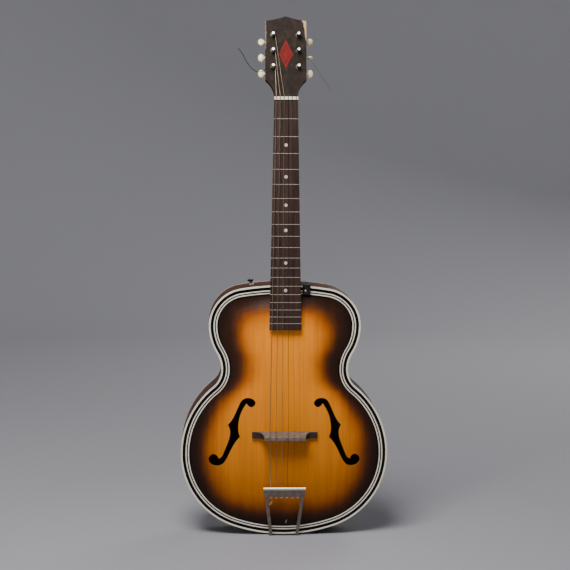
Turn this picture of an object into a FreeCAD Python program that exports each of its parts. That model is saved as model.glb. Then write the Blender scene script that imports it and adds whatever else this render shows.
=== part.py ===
import FreeCAD, Part
import math
import os
import re
import Sketcher

# Archtop guitar, in millimetres. +Z runs up the body and neck, the front faces -Y, +X is the treble side.
# The origin is on the flat underside of the tailpiece bracket, at mid-depth of the sound box.

Vector = FreeCAD.Vector
Placement = FreeCAD.Placement
Rotation = FreeCAD.Rotation
X_AXIS = Vector(1, 0, 0)
Y_AXIS = Vector(0, 1, 0)
Z_AXIS = Vector(0, 0, 1)

# Driving dimensions
SIZES = {
    # sound box outline: bouts at shares of the length, the waist at a share of the way between them
    "body_length": 490,
    "lower_bout_width": 402,
    "lower_bout_height_share": 0.32755,
    "waist_width": 245,
    "waist_height_share": 0.66068,
    "upper_bout_width": 293.4,
    "upper_bout_drop_share": 0.16122,
    "lower_side_flat": 8,
    "lower_waist_share": 0.20885,
    "upper_waist_share": 0.37469,
    "shoulder_flat": 6,
    # sound box walls
    "rim_depth": 86,
    "plate_thickness": 3.5,
    "side_thickness": 3,
    "top_arch_height": 14.5,
    "back_arch_height": 13,
    "arch_margin": 17,
    "lining_width": 6,
    "lining_depth": 12,
    "neck_block_width": 64,
    "neck_block_length": 42,
    "tail_block_width": 70,
    "tail_block_length": 24,
    "tone_bar_width": 6,
    "tone_bar_depth": 11,
    "tone_bar_length_share": 0.55102,
    "tone_bar_foot_share": 0.21429,
    "tone_bar_offset": 33,
    "glue_gap": 0.05,
    # edge trim
    "binding_width": 3.2,
    "purfling_inset": 9,
    "purfling_pitch": 4.6,
    "purfling_width": 2.3,
    "purfling_depth": 1.2,
    # f-holes
    "f_hole_length_share": 0.2745,
    "f_hole_offset_share": 0.4975,
    "f_hole_height_share": 0.418,
    # neck and fingerboard
    "scale_length": 641,
    "neck_angle": 3.5,
    "head_angle": 12,
    "neck_set_height": 13,
    "nut_width": 45.5,
    "nut_thickness": 6,
    "board_length": 440,
    "board_end_width": 61.2,
    "board_thickness": 6,
    "board_radius": 305,
    "neck_depth": 16,
    "neck_depth_growth": 3,
    "heel_length": 85,
    "heel_depth": 88,
    "tongue_length": 30,
    "tongue_thickness": 4,
    "tenon_length": 18,
    "tenon_neck_width": 18,
    "tenon_end_width": 24,
    "tenon_foot": 20,
    "tenon_clearance": 0.15,
    "bar_width": 6.4,
    "bar_depth": 10,
    "bar_length": 310,
    "bar_start": 20,
    "bar_clearance": 0.1,
    "fret_width": 2.2,
    "fret_height": 1.1,
    "fret_tang_width": 0.6,
    "fret_tang_depth": 2,
    "dot_radius": 3.2,
    "dot_depth": 1.5,
    # headstock
    "head_length": 160,
    "head_shoulder_height": 150.5,
    "head_width": 78.6,
    "head_flare_height": 34,
    "head_neck_height": 5,
    "head_thickness": 15,
    "head_flare_hollow": 3.1,
    "head_tip_hollow": 1,
    "head_roll_spare": 1,
    # tuners
    "post_offset": 24.5,
    "post_first": 59,
    "post_pitch": 31.6,
    "post_radius": 3,
    "post_height": 13.5,
    "post_tip_radius": 2,
    "post_hole_height": 9,
    "post_hole_radius": 0.9,
    "post_clearance": 0.06,
    "bushing_flange_radius": 5.6,
    "bushing_flange_thickness": 1.3,
    "bushing_radius": 4.1,
    "bushing_length": 9,
    "bushing_clearance": 0.03,
    "tuner_plate_thickness": 1.2,
    "tuner_plate_width": 14.6,
    "tuner_plate_tail": 20,
    "tuner_plate_lead": 17,
    "worm_depth": 3.8,
    "gear_teeth": 12,
    "gear_pitch_radius": 5.2,
    "gear_tip_radius": 6,
    "gear_root_radius": 4.6,
    "gear_thickness": 3,
    "gear_tooth_root_width": 1.3,
    "gear_tooth_tip_width": 0.7,
    "gear_worm_distance": 8,
    "worm_radius": 3,
    "worm_core_radius": 1.7,
    "worm_thread_root_width": 1,
    "worm_thread_tip_width": 0.6,
    "worm_turns": 3,
    "ear_gap": 11,
    "ear_thickness": 1.2,
    "ear_width": 7,
    "ear_reach": 3.4,
    "shaft_radius": 1.5,
    "shaft_clearance": 0.05,
    "gear_screw_head_radius": 2.7,
    "gear_screw_head_height": 1.6,
    "gear_screw_radius": 1,
    "gear_screw_length": 4,
    "gear_screw_clearance": 0.03,
    "gear_screw_spare": 0.2,
    "driver_slot_width": 0.7,
    "worm_end_play": 0.15,
    "shaft_end_length": 0.6,
    "thread_sink": 0.15,
    "gear_tooth_sink": 0.3,
    "button_offset": 47,
    "button_length": 12,
    "button_height": 16,
    "button_thickness": 7,
    "button_bore_depth": 7,
    "button_stem_radius": 2.4,
    "button_stem_end_radius": 2.04,
    "button_stem_length": 4,
    "button_stem_lead": 1,
    "button_bore_clearance": 0.02,
    # strings
    "string_nut_spacing": 7.6,
    "string_bridge_spacing": 11.8,
    "string_tail_spacing": 10.3,
    "string_first_fret_gap": 0.25,
    "string_bridge_rise": 4.6,
    "winding_gap": 0.15,
    "winding_spacing": 0.45,
    "string_bend_radius": 6,
    "string_stub_length": 3,
    "ball_radius": 2,
    "ball_length": 3.6,
    "slot_clearance": 0.05,
    "slot_width_clearance": 0.16,
    "slot_depth_clearance": 0.13,
    # nut and bridge
    "nut_height_over_strings": 0.3,
    "bridge_length": 126,
    "bridge_set_back": 8.8,
    "bridge_neck_side": 10.5,
    "bridge_tail_side": 2.7,
    "bridge_top_half": 2.5,
    "bridge_crown_length": 80,
    "bridge_wing_height": 4,
    "bridge_step_length": 9,
    "bridge_step_rise": 1,
    "bridge_step_hollow": 2.2,
    "bridge_taper_start": 1,
    "bridge_foot_gap": 36,
    "bridge_foot_rise": 3,
    "bridge_clearance": 0.3,
    "bridge_height_over_strings": 0.2,
    # tailpiece
    "tail_angle": 10.6,
    "hinge_front": 5.5,
    "hinge_height": 3.5,
    "hinge_pin_radius": 1.25,
    "hinge_clearance": 0.05,
    "hinge_pin_length": 6.4,
    "leg_width": 6.4,
    "leg_thickness": 1.6,
    "leg_length": 92,
    "leg_foot_offset": 25.6,
    "leg_top_offset": 36.3,
    "leg_neck_height": 3,
    "lug_gap": 0.1,
    "tail_bar_length": 81.5,
    "tail_bar_taper": 2,
    "tail_bar_height": 18.2,
    "tail_bar_foot": 80,
    "tail_bar_thickness": 1.5,
    "tail_lip_radius": 3,
    "tail_lip_out": 2.2,
    "tail_flange_length": 60,
    "tail_flange_depth": 5.4,
    "string_behind_bar": 1,
    "bracket_thickness": 1.6,
    "bracket_width": 28,
    "bracket_back": 20,
    # finger-rest bracket and strap button
    "rest_offset": 40.8,
    "rest_width": 14.6,
    "rest_height": 18,
    "rest_thickness": 6,
    "rest_lip_depth": 16,
    "rest_lip_rise": 2.5,
    "rest_corner_radius": 1.2,
    "rest_clearance": 0.05,
    "strap_offset": 65,
    "strap_base_radius": 5.5,
    "strap_waist_radius": 3.4,
    "strap_head_radius": 6.3,
    "strap_height": 11,
    # wood screws
    "tuner_screw_head_radius": 2.2,
    "tuner_screw_radius": 1,
    "tuner_screw_length": 9,
    "bracket_screw_head_radius": 2.9,
    "bracket_screw_radius": 1.5,
    "bracket_screw_length": 17,
    "bracket_screw_offset": 8.4,
    "bracket_screw_front": 15,
    "bracket_screw_back": 12,
    "rest_screw_head_radius": 2.6,
    "rest_screw_radius": 1.2,
    "rest_screw_offset": 39.3,
    "rest_screw_drop": 10.8,
    "strap_screw_head_radius": 2.6,
    "strap_screw_radius": 1.4,
    "strap_screw_length": 19,
    "screw_clearance": 0.05,
}
FRET_COUNT = 19
JOINT_FRET = 14
DOT_FRETS = (3, 5, 7, 9, 12, 15)
STRING_DIAMETERS = {1: 0.30, 2: 0.41, 3: 0.61, 4: 0.81, 5: 1.07, 6: 1.37}
POST_ROWS = {1: 0, 2: 1, 3: 2, 4: 2, 5: 1, 6: 0}
BUTTON_TURNS = {1: 8, 2: 90, 3: 38, 4: 22, 5: 4, 6: 0}
HALF_TURNS_ON_POST = {1: 6, 2: 5, 3: 8, 4: 6, 5: 6, 6: 6}

doc = FreeCAD.newDocument("archtop_guitar")
sheet = doc.addObject("Spreadsheet::Sheet", "Sizes")
for row, (alias, value) in enumerate(SIZES.items(), start=1):
    sheet.set(f"A{row}", alias)
    sheet.set(f"B{row}", str(value))
    sheet.setAlias(f"B{row}", alias)
doc.recompute()
nodes = []


def size(alias):
    return float(sheet.get(alias))


def bound(text):
    """An expression on the sheet, from a formula written with the aliases alone."""
    return re.sub(r"[a-z_]{3,}", r"Sizes.\g<0>", str(text))


def value_of(text):
    return float(sheet.evalExpression(bound(text)))


def node(label, shape, placement=None):
    """A finished sub-part whose shape is worked out here from the sheet's sizes."""
    feature = doc.addObject("Part::Feature", label)
    feature.Label = label
    feature.Shape = shape
    if placement is not None:
        feature.Placement = placement
    nodes.append(feature)
    return feature


def keep(feature, label, placement=None):
    """A parametric object becomes a sub-part under its own label."""
    feature.Label = label
    if placement is not None:
        feature.Placement = placement
    nodes.append(feature)
    return feature


def origin_plane(body, role):
    return next(item for item in body.Origin.OriginFeatures if item.Role == role)


def polygon_sketch(body, name, role, corners):
    """A closed sketch whose corners are each held to two formulas on the sheet."""
    sketch = body.newObject("Sketcher::SketchObject", name)
    sketch.AttachmentSupport = (origin_plane(body, role), [""])
    sketch.MapMode = "FlatFace"
    places = [Vector(value_of(across), value_of(up), 0) for across, up in corners]
    count = len(places)
    for index in range(count):
        sketch.addGeometry(Part.LineSegment(places[index], places[(index + 1) % count]), False)
    for index in range(count):
        sketch.addConstraint(Sketcher.Constraint("Coincident", index, 2, (index + 1) % count, 1))
    for index, corner in enumerate(corners):
        for kind, formula, place in zip(("DistanceX", "DistanceY"), corner, places[index]):
            constraint = sketch.addConstraint(Sketcher.Constraint(kind, -1, 1, index, 1, place))
            sketch.setExpression(f"Constraints[{constraint}]", bound(formula))
    return sketch


def turned(name, corners):
    """A body turned about its own Z axis from (radius, height) corners."""
    body = doc.addObject("PartDesign::Body", name)
    sketch = polygon_sketch(body, name + "_profile", "XZ_Plane", corners)
    revolution = body.newObject("PartDesign::Revolution", name + "_turned")
    revolution.Profile = sketch
    revolution.ReferenceAxis = (sketch, ["V_Axis"])
    revolution.Angle = 360
    doc.recompute()
    return body


def padded(name, role, corners, length):
    """A body padded evenly to both sides of the plane that its outline is drawn on."""
    body = doc.addObject("PartDesign::Body", name)
    sketch = polygon_sketch(body, name + "_outline", role, corners)
    pad = body.newObject("PartDesign::Pad", name + "_pad")
    pad.Profile = sketch
    pad.setExpression("Length", bound(length))
    pad.Midplane = True
    doc.recompute()
    return body


def box(low, high):
    return Part.makeBox(high[0] - low[0], high[1] - low[1], high[2] - low[2], Vector(*low))


def moved(shape, placement):
    copy = shape.copy()
    copy.Placement = placement.multiply(copy.Placement)
    return copy


def tilted_frame(origin, tilt):
    """x stays across, y runs up a plane that leans back by the tilt, z points out of its front."""
    return Placement(origin, Rotation(X_AXIS, 90 - tilt))


# Shared frames of the neck, the headstock and the tailpiece
BASE = size("bracket_thickness")
RIM = size("rim_depth") / 2
LENGTH = size("body_length")
TOP_EDGE = BASE + LENGTH
PLATE = size("plate_thickness")
RIB = RIM - PLATE


def fret_place(fret):
    return size("scale_length") * (1 - 2 ** (-fret / 12))


joint_distance = fret_place(JOINT_FRET)
saddle_distance = size("scale_length") + size("bridge_set_back")
joint_front = -RIM - size("neck_set_height") - size("board_thickness")
joint_frame = tilted_frame(Vector(0, joint_front, TOP_EDGE), size("neck_angle"))
neck_frame = joint_frame.multiply(Placement(Vector(0, joint_distance, 0), Rotation()))
head_origin = neck_frame.multVec(Vector(0, size("nut_thickness"), -size("board_thickness")))
head_frame = tilted_frame(head_origin, size("neck_angle") + size("head_angle"))
hinge_point = Vector(0, -RIM - size("hinge_front"), size("hinge_height"))
tail_frame = tilted_frame(hinge_point, -size("tail_angle"))


def post_place(string):
    side = 1 if string <= 3 else -1
    height = size("post_first") + POST_ROWS[string] * size("post_pitch")
    return Vector(side * size("post_offset"), height, 0)


# Outline of the sound box: tangent arcs from the tail up the treble side to the neck
LOWER_Z = LENGTH * size("lower_bout_height_share")
UPPER_Z = LENGTH * (1 - size("upper_bout_drop_share"))
WAIST_Z = LOWER_Z + (UPPER_Z - LOWER_Z) * size("waist_height_share")


def oval_end(half_width, height, flat):
    """The side radius and end radius of half an oval, and the angle at which its two arcs meet."""
    side = height - flat if height < half_width else height + flat
    end = (half_width ** 2 + height ** 2 - 2 * half_width * side) / (2 * (height - side))
    return side, end, math.atan2(abs(height - end), abs(half_width - side))


def flank(bout, waist, height, waist_share):
    """The radii of the two arcs that lead from a bout to the waist, the bout's first."""
    both = ((bout - waist) ** 2 + height ** 2) / (2 * (bout - waist))
    return both * (1 - waist_share), both * waist_share


def outline_arcs():
    """Arcs as (centre x, centre z, radius, start angle, end angle, 1 for convex or -1 for hollow)."""
    low, waist, high = (size(name) / 2 for name in ("lower_bout_width", "waist_width", "upper_bout_width"))
    side, tail, tail_turn = oval_end(low, LOWER_Z, size("lower_side_flat"))
    shoulder, crown, crown_turn = oval_end(high, LENGTH - UPPER_Z, size("shoulder_flat"))
    hip, low_waist = flank(low, waist, WAIST_Z - LOWER_Z, size("lower_waist_share"))
    chest, high_waist = flank(high, waist, UPPER_Z - WAIST_Z, size("upper_waist_share"))
    hip_turn = math.atan2(WAIST_Z - LOWER_Z, waist + low_waist - low + hip)
    chest_turn = math.atan2(UPPER_Z - WAIST_Z, high - chest - waist - high_waist)
    return [
        (0, tail, tail, -math.pi / 2, -tail_turn, 1),
        (low - side, LOWER_Z, side, -tail_turn, 0, 1),
        (low - hip, LOWER_Z, hip, 0, hip_turn, 1),
        (waist + low_waist, WAIST_Z, low_waist, hip_turn + math.pi, math.pi, -1),
        (waist + high_waist, WAIST_Z, high_waist, math.pi, chest_turn, -1),
        (high - chest, UPPER_Z, chest, chest_turn - math.pi, 0, 1),
        (high - shoulder, UPPER_Z, shoulder, 0, crown_turn, 1),
        (0, LENGTH - crown, crown, crown_turn, math.pi / 2, 1),
    ]


ARCS = outline_arcs()


def arc_point(arc, angle, inset, side, depth):
    centre_x, centre_z, radius, bend = arc[0], arc[1], arc[2], arc[5]
    reach = radius - bend * inset
    across = centre_x + reach * math.cos(angle)
    return Vector(side * across, depth, BASE + centre_z + reach * math.sin(angle))


def outline_wire(inset, depth):
    edges = []
    for side in (1, -1):
        for arc in ARCS:
            angles = (arc[3], (arc[3] + arc[4]) / 2, arc[4])
            points = [arc_point(arc, angle, inset, side, depth) for angle in angles]
            edges.append(Part.Arc(*points).toShape())
    return Part.Wire(Part.sortEdges(edges)[0])


def outline_prism(inset, front, back):
    return Part.Face(outline_wire(inset, front)).extrude(Vector(0, back - front, 0))


def outline_ring(outer_inset, inner_inset, front, back):
    outer = outline_prism(outer_inset, front, back)
    return outer.cut(outline_prism(inner_inset, front, back))


def half_width(height):
    """Half the sound box's width between its two bouts, at a height above the tail."""
    for arc in ARCS[2:6]:
        ends = sorted(arc[1] + arc[2] * math.sin(angle) for angle in (arc[3], arc[4]))
        if ends[0] - 1e-6 <= height <= ends[1] + 1e-6:
            return arc[0] + arc[5] * math.sqrt(max(arc[2] ** 2 - (height - arc[1]) ** 2, 0))
    raise ValueError("height outside the bouts")


# Arch of the plates: flat by the edge, then rising to a broad crown
def arch_share(across, height):
    margin = size("arch_margin")
    inner = min(max(height, LOWER_Z), UPPER_Z)
    if height < LOWER_Z:
        end_share = (LOWER_Z - height) / (LOWER_Z - margin)
    else:
        end_share = (height - inner) / (LENGTH - margin - UPPER_Z)
    reach = (across / (half_width(inner) - margin)) ** 2 + end_share ** 2
    if reach >= 1:
        return 0
    return (1 - reach) ** 2 * (1 + 2 * reach)


ARCH_COLUMNS = 40
ARCH_ROWS = 48
ARCH_DEGREE = 3


def even_knots(poles):
    """Knots and their multiplicities for evenly spaced poles."""
    inner = poles - ARCH_DEGREE - 1
    return list(range(inner + 2)), [ARCH_DEGREE + 1] + [1] * inner + [ARCH_DEGREE + 1]


def arch_face(arch_height, rim, outward):
    """The outer face of an arched plate, wider than the sound box all round and flat by its edge."""
    spare = size("side_thickness")
    reach = size("lower_bout_width") / 2 + spare
    low, high = -spare, LENGTH + spare
    grid = []
    for column in range(ARCH_COLUMNS + 1):
        across = reach * (2 * column / ARCH_COLUMNS - 1)
        line = []
        for row in range(ARCH_ROWS + 1):
            height = low + (high - low) * row / ARCH_ROWS
            rise = arch_height * arch_share(across, height)
            line.append(Vector(across, rim + outward * rise, BASE + height))
        grid.append(line)
    surface = Part.BSplineSurface()
    across_knots, across_counts = even_knots(ARCH_COLUMNS + 1)
    up_knots, up_counts = even_knots(ARCH_ROWS + 1)
    surface.buildFromPolesMultsKnots(grid, across_counts, up_counts, across_knots, up_knots,
                                     False, False, ARCH_DEGREE, ARCH_DEGREE)
    return surface.toShape()


def plate_solid(face, outward, thickness, inset):
    slab = face.extrude(Vector(0, -outward * thickness, 0))
    return slab.common(outline_prism(inset, -3 * RIM, 3 * RIM))


# Outline of an f-hole on the treble side, from its middle, in millimetres on a hole of the drawn length.
# Each curve runs between two of its four corners: upper notch, outer nick, lower notch, inner nick.
F_HOLE_DRAWN_LENGTH = 132.4
F_HOLE_CURVES = (
    ((-26.2, 55.8), (-29.5, 50.7), (-35, 48.4), (-42.8, 56.2), (-37.7, 63.8), (-28.8, 66.2),
     (-19.4, 63.4), (-11.5, 51.9), (0.5, 25.7), (9.8, 13.9)),
    ((9.8, 13.9), (5.4, 2), (7.9, -15.5), (16.7, -38.1), (23.5, -50.1), (27.8, -52.1)),
    ((27.8, -52.1), (31, -45.8), (37.1, -43.5), (46.1, -52.5), (42.5, -62.1), (29.7, -66.2),
     (20.5, -63.2), (14.1, -55.6), (4.2, -35.6), (-5.8, -18.1), (-13.8, -9)),
    ((-13.8, -9), (-11.4, -3.2), (-10.1, 13.3), (-14.5, 34.6), (-26.2, 55.8)),
)


def f_hole_cutter(side):
    stretch = LENGTH * size("f_hole_length_share") / F_HOLE_DRAWN_LENGTH
    centre_x = size("lower_bout_width") / 2 * size("f_hole_offset_share")
    centre_z = BASE + LENGTH * size("f_hole_height_share")
    edges = []
    for curve in F_HOLE_CURVES:
        points = []
        for across, up in curve:
            points.append(Vector(side * (centre_x + stretch * across), -2 * RIM, centre_z + stretch * up))
        spline = Part.BSplineCurve()
        spline.interpolate(points)
        edges.append(spline.toShape())
    return Part.Face(Part.Wire(edges)).extrude(Vector(0, 2 * RIM, 0))


# Screws: each lies on its own seat, with its local +Z out of the wood and its head outside
SCREW_TIP_RADIUS = 0.1
DOME_RADIUS_SHARE = 1.25
DOME_DROP_SHARE = 0.75


def screw_solid(head_radius, radius, length, sunk):
    point = Part.makeCone(SCREW_TIP_RADIUS, radius, 2 * radius, Vector(0, 0, -length))
    shank = Part.makeCylinder(radius, length - 2 * radius, Vector(0, 0, 2 * radius - length))
    if sunk:
        head = Part.makeCone(radius, head_radius, head_radius - radius, Vector(0, 0, radius - head_radius))
    else:
        dome = Part.makeSphere(head_radius * DOME_RADIUS_SHARE, Vector(0, 0, -head_radius * DOME_DROP_SHARE))
        wide = 2 * head_radius
        head = dome.common(box((-wide, -wide, 0), (wide, wide, wide)))
    return shank.fuse([point, head]).removeSplitter()


def screw_hole(head_radius, radius, length, sunk):
    clearance = size("screw_clearance")
    hole_end = Vector(0, 0, -length - 2 * clearance)
    hole = Part.makeCylinder(radius + clearance, length + 4 * clearance, hole_end)
    if sunk:
        depth = head_radius - radius
        mouth = Part.makeCone(radius + clearance, head_radius + clearance, depth, Vector(0, 0, -depth))
        hole = hole.fuse(mouth)
    return hole


def sizes(*names):
    return [size(name) for name in names]


def facing(origin, direction):
    return Placement(origin, Rotation(Z_AXIS, direction))


def outline_seat(across):
    """The place and outward direction on the crown arc of the outline, at mid-depth."""
    centre_x, centre_z, radius = ARCS[-1][0:3]
    angle = math.acos((across - centre_x) / radius)
    outward = Vector(math.cos(angle), 0, math.sin(angle))
    return outward * radius + Vector(centre_x, 0, BASE + centre_z), outward


tuner_screw = (*sizes("tuner_screw_head_radius", "tuner_screw_radius", "tuner_screw_length"), False)
bracket_screw = (*sizes("bracket_screw_head_radius", "bracket_screw_radius", "bracket_screw_length"), True)
rest_length = size("rest_thickness") + PLATE
rest_screw = (*sizes("rest_screw_head_radius", "rest_screw_radius"), rest_length, False)
strap_screw = (*sizes("strap_screw_head_radius", "strap_screw_radius", "strap_screw_length"), False)

plate_back = -size("head_thickness") - size("tuner_plate_thickness")
free_gap = size("post_pitch") - size("gear_tip_radius") - size("gear_worm_distance") - size("worm_radius")
tuner_screw_rise = size("gear_tip_radius") + free_gap / 2
tuner_screw_places = {}
for side in (1, -1):
    places = []
    for row in range(-1, 3):
        height = size("post_first") + row * size("post_pitch") + tuner_screw_rise
        seat = Vector(side * size("post_offset"), height, plate_back)
        places.append(head_frame.multiply(facing(seat, Vector(0, 0, -1))))
    tuner_screw_places[side] = places

bracket_screw_places = []
for side in (1, -1):
    for back in (-size("bracket_screw_front"), size("bracket_screw_back")):
        seat = Vector(side * size("bracket_screw_offset"), back, 0)
        bracket_screw_places.append(facing(seat, Vector(0, 0, -1)))

rest_front = -RIM - size("rest_thickness")
rest_seat = Vector(size("rest_screw_offset"), rest_front, TOP_EDGE - size("rest_screw_drop"))
rest_screw_place = facing(rest_seat, -Y_AXIS)
strap_seat, strap_outward = outline_seat(-size("strap_offset"))
strap_screw_place = facing(strap_seat + strap_outward * size("strap_height"), strap_outward)


def holes(screw, places):
    return [moved(screw_hole(*screw), place) for place in places]


all_screws = [moved(screw_solid(*rest_screw), rest_screw_place)]
all_screws.append(moved(screw_solid(*strap_screw), strap_screw_place))
all_screws.extend(moved(screw_solid(*bracket_screw), place) for place in bracket_screw_places)
for side in (1, -1):
    all_screws.extend(moved(screw_solid(*tuner_screw), place) for place in tuner_screw_places[side])
node("wood_screws", Part.makeCompound(all_screws))

# Dovetail that holds the neck in its block; the mortise is the tenon and a clearance
def dovetail(clearance, foot):
    neck_half = size("tenon_neck_width") / 2 + clearance
    end_half = size("tenon_end_width") / 2 + clearance
    end_z = TOP_EDGE - size("tenon_length") - clearance
    front = -RIM - size("neck_set_height")
    slope = (end_half - neck_half) / (TOP_EDGE - end_z)
    lead = size("side_thickness")
    mouth_half = neck_half - slope * lead
    corners = [
        Vector(-end_half, front, end_z),
        Vector(end_half, front, end_z),
        Vector(mouth_half, front, TOP_EDGE + lead),
        Vector(-mouth_half, front, TOP_EDGE + lead),
    ]
    face = Part.Face(Part.makePolygon(corners + corners[:1]))
    return face.extrude(Vector(0, foot + clearance - front, 0))


tenon = dovetail(0, size("tenon_foot"))
mortise = dovetail(size("tenon_clearance"), size("tenon_foot"))

# Sound box
purfling_rings = []
for line in range(2):
    inset = size("purfling_inset") + line * size("purfling_pitch")
    depth = size("purfling_depth")
    purfling_rings.append((inset, inset + size("purfling_width"), -RIM, -RIM + depth))
groove_spare = 1
top_face = arch_face(size("top_arch_height"), -RIM, -1)
back_face = arch_face(size("back_arch_height"), RIM, 1)


def under_top(clearance):
    """All that lies behind the top's outer face, and a clearance in front of it."""
    raised = top_face.copy()
    raised.translate(Vector(0, -clearance, 0))
    return raised.extrude(Vector(0, 2 * RIM, 0))


top = plate_solid(top_face, -1, PLATE, size("binding_width"))
top = top.cut([f_hole_cutter(1), f_hole_cutter(-1)])
for outer, inner, front, back in purfling_rings:
    top = top.cut(outline_ring(outer, inner, front - groove_spare, back))
top = top.cut([mortise] + holes(rest_screw, [rest_screw_place]))
node("top_plate", top)
node("back_plate", plate_solid(back_face, 1, PLATE, size("binding_width")))

rib_ring = outline_ring(0, size("side_thickness"), -RIB, RIB)
rib_ring = rib_ring.cut([mortise] + holes(strap_screw, [strap_screw_place]))
rib_ring = rib_ring.cut(holes(bracket_screw, bracket_screw_places))
far = LENGTH
node("treble_side", rib_ring.common(box((0, -far, -far), (far, far, 2 * far))))
node("bass_side", rib_ring.common(box((-far, -far, -far), (0, far, 2 * far))))

glue = size("glue_gap")
block_room = outline_prism(size("side_thickness") + glue, glue - RIB, RIB - glue)
half_block = size("neck_block_width") / 2
neck_block_box = box((-half_block, -RIB, TOP_EDGE - size("neck_block_length")), (half_block, RIB, TOP_EDGE))
node("neck_block", block_room.common(neck_block_box).cut(mortise))
half_block = size("tail_block_width") / 2
tail_block_box = box((-half_block, -RIB, BASE), (half_block, RIB, BASE + size("tail_block_length")))
tail_block = block_room.common(tail_block_box).cut(holes(bracket_screw, bracket_screw_places))
node("tail_block", tail_block)

lining_inner = size("side_thickness") + size("lining_width")
linings = []
for front, back in ((glue - RIB, size("lining_depth") - RIB), (RIB - size("lining_depth"), RIB - glue)):
    strip = outline_ring(size("side_thickness"), lining_inner, front, back)
    strip = strip.cut([neck_block_box, tail_block_box] + holes(strap_screw, [strap_screw_place]))
    linings.extend(strip.Solids)
node("linings", Part.makeCompound(linings))

inner_face = top_face.copy()
inner_face.translate(Vector(0, PLATE + glue, 0))
bar_slab = inner_face.extrude(Vector(0, size("tone_bar_depth"), 0))
tone_bars = []
for side in (1, -1):
    centre = side * size("tone_bar_offset")
    half = size("tone_bar_width") / 2
    foot = BASE + LENGTH * size("tone_bar_foot_share")
    head = foot + LENGTH * size("tone_bar_length_share")
    prism = box((centre - half, -3 * RIM, foot), (centre + half, 0, head))
    tone_bars.extend(bar_slab.common(prism).Solids)
node("tone_bars", Part.makeCompound(tone_bars))

node("top_binding", outline_ring(0, size("binding_width"), -RIM, -RIB).cut(mortise))
node("back_binding", outline_ring(0, size("binding_width"), RIB, RIM))
purfling = []
for ring in purfling_rings:
    strip = outline_ring(*ring).cut([mortise] + holes(rest_screw, [rest_screw_place]))
    purfling.extend(strip.Solids)
node("top_purfling", Part.makeCompound(purfling))


# Neck: a round-backed shaft that swells into the heel, with the headstock leaning back behind the nut
def board_width(distance):
    growth = (size("board_end_width") - size("nut_width")) / size("board_length")
    return size("nut_width") + growth * distance


def u_section(half, depth, taper, place, top):
    """A flat-topped section with a round back; a taper under 1 draws the back in."""
    left, right = Vector(-half, place, top), Vector(half, place, top)
    low = top - depth * 4 / 3
    curve = Part.BezierCurve()
    curve.setPoles([right, Vector(half * taper, place, low), Vector(-half * taper, place, low), left])
    return Part.Wire([Part.LineSegment(left, right).toShape(), curve.toShape()])


HEEL_PINCH = 0.62
board_under = -size("board_thickness")
heel_start = joint_distance - size("heel_length")
HEEL_SECTIONS = 7
HEEL_SPARE = 1.05
HEEL_SWELL_POWER = 3


def neck_section(station):
    swell = max(0, (station - heel_start) / size("heel_length")) ** HEEL_SWELL_POWER
    depth = size("neck_depth") + size("neck_depth_growth") * max(station, 0) / heel_start
    depth += (size("heel_depth") - depth) * swell
    half = board_width(max(station, 0)) / 2
    return u_section(half, depth, 1 - HEEL_PINCH * min(swell, 1), -station, board_under)


heel_stations = [heel_start + HEEL_SPARE * size("heel_length") * step / HEEL_SECTIONS
                 for step in range(HEEL_SECTIONS + 1)]
straight = [neck_section(station) for station in (-size("nut_thickness"), 0, heel_start)]
shaft = Part.makeLoft(straight, True, True)
shaft = shaft.fuse(Part.makeLoft([neck_section(station) for station in heel_stations], True, False))
shaft = moved(shaft, neck_frame)

half_head = size("head_width") / 2
half_nut = size("nut_width") / 2
flare_hollow = Vector(-size("head_flare_hollow"), size("head_flare_hollow") / 2, 0)
tip_hollow = Vector(0, -size("head_tip_hollow"), 0)
under_nut = -2 * size("nut_thickness")
root = Vector(half_nut, size("head_neck_height"), 0)
flare = Vector(half_head, size("head_flare_height"), 0)
corner = Vector(half_head, size("head_shoulder_height"), 0)
peak = Vector(0, size("head_length"), 0)


def mirrored(point):
    return Vector(-point.x, point.y, point.z)


def head_outline():
    edges = []
    for flip in (lambda point: point, mirrored):
        edges.append(Part.LineSegment(flip(Vector(half_nut, under_nut, 0)), flip(root)).toShape())
        edges.append(Part.Arc(flip(root), flip((root + flare) / 2 + flare_hollow), flip(flare)).toShape())
        edges.append(Part.LineSegment(flip(flare), flip(corner)).toShape())
        edges.append(Part.Arc(flip(corner), flip((corner + peak) / 2 + tip_hollow), flip(peak)).toShape())
    foot = Vector(half_nut, under_nut, 0)
    edges.append(Part.LineSegment(foot, mirrored(foot)).toShape())
    return Part.Wire(Part.sortEdges(edges)[0])


slab = Part.Face(head_outline()).extrude(Vector(0, 0, -size("head_thickness")))
FLARE_END_SHARE = 1.5
ROLL_DEPTHS = 5
flare_end = size("head_flare_height") * FLARE_END_SHARE
spare = size("head_roll_spare")
roll = [
    u_section(half_nut + spare, size("neck_depth") + 2 * spare, 1, under_nut, spare),
    u_section(half_nut + 2 * spare, size("neck_depth") + 3 * spare, 1, 0, spare),
    u_section(2 * half_head, ROLL_DEPTHS * size("neck_depth"), 1, flare_end, spare),
]
rolled = Part.makeLoft(roll, True, True)
upper = box((-far, flare_end, -far), (far, far, far))
headstock = moved(slab.common(rolled).fuse(slab.common(upper)), head_frame)

half_tongue = board_width(joint_distance) / 2 - size("side_thickness")
tongue_low = board_under - size("tongue_thickness")
tongue = box((-half_tongue, -joint_distance - size("tongue_length"), tongue_low),
             (half_tongue, -joint_distance + size("tongue_length"), board_under))
above_neck = moved(box((-far, -2 * far, board_under), (far, size("nut_thickness"), far)), neck_frame)
above_head = moved(box((-far, 0, 0), (far, far, far)), head_frame)
neck = shaft.fuse(headstock).cut(outline_prism(0, -RIM - glue, 3 * RIM))
neck = neck.fuse([tenon, moved(tongue, neck_frame)]).cut([above_neck, above_head])

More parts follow.
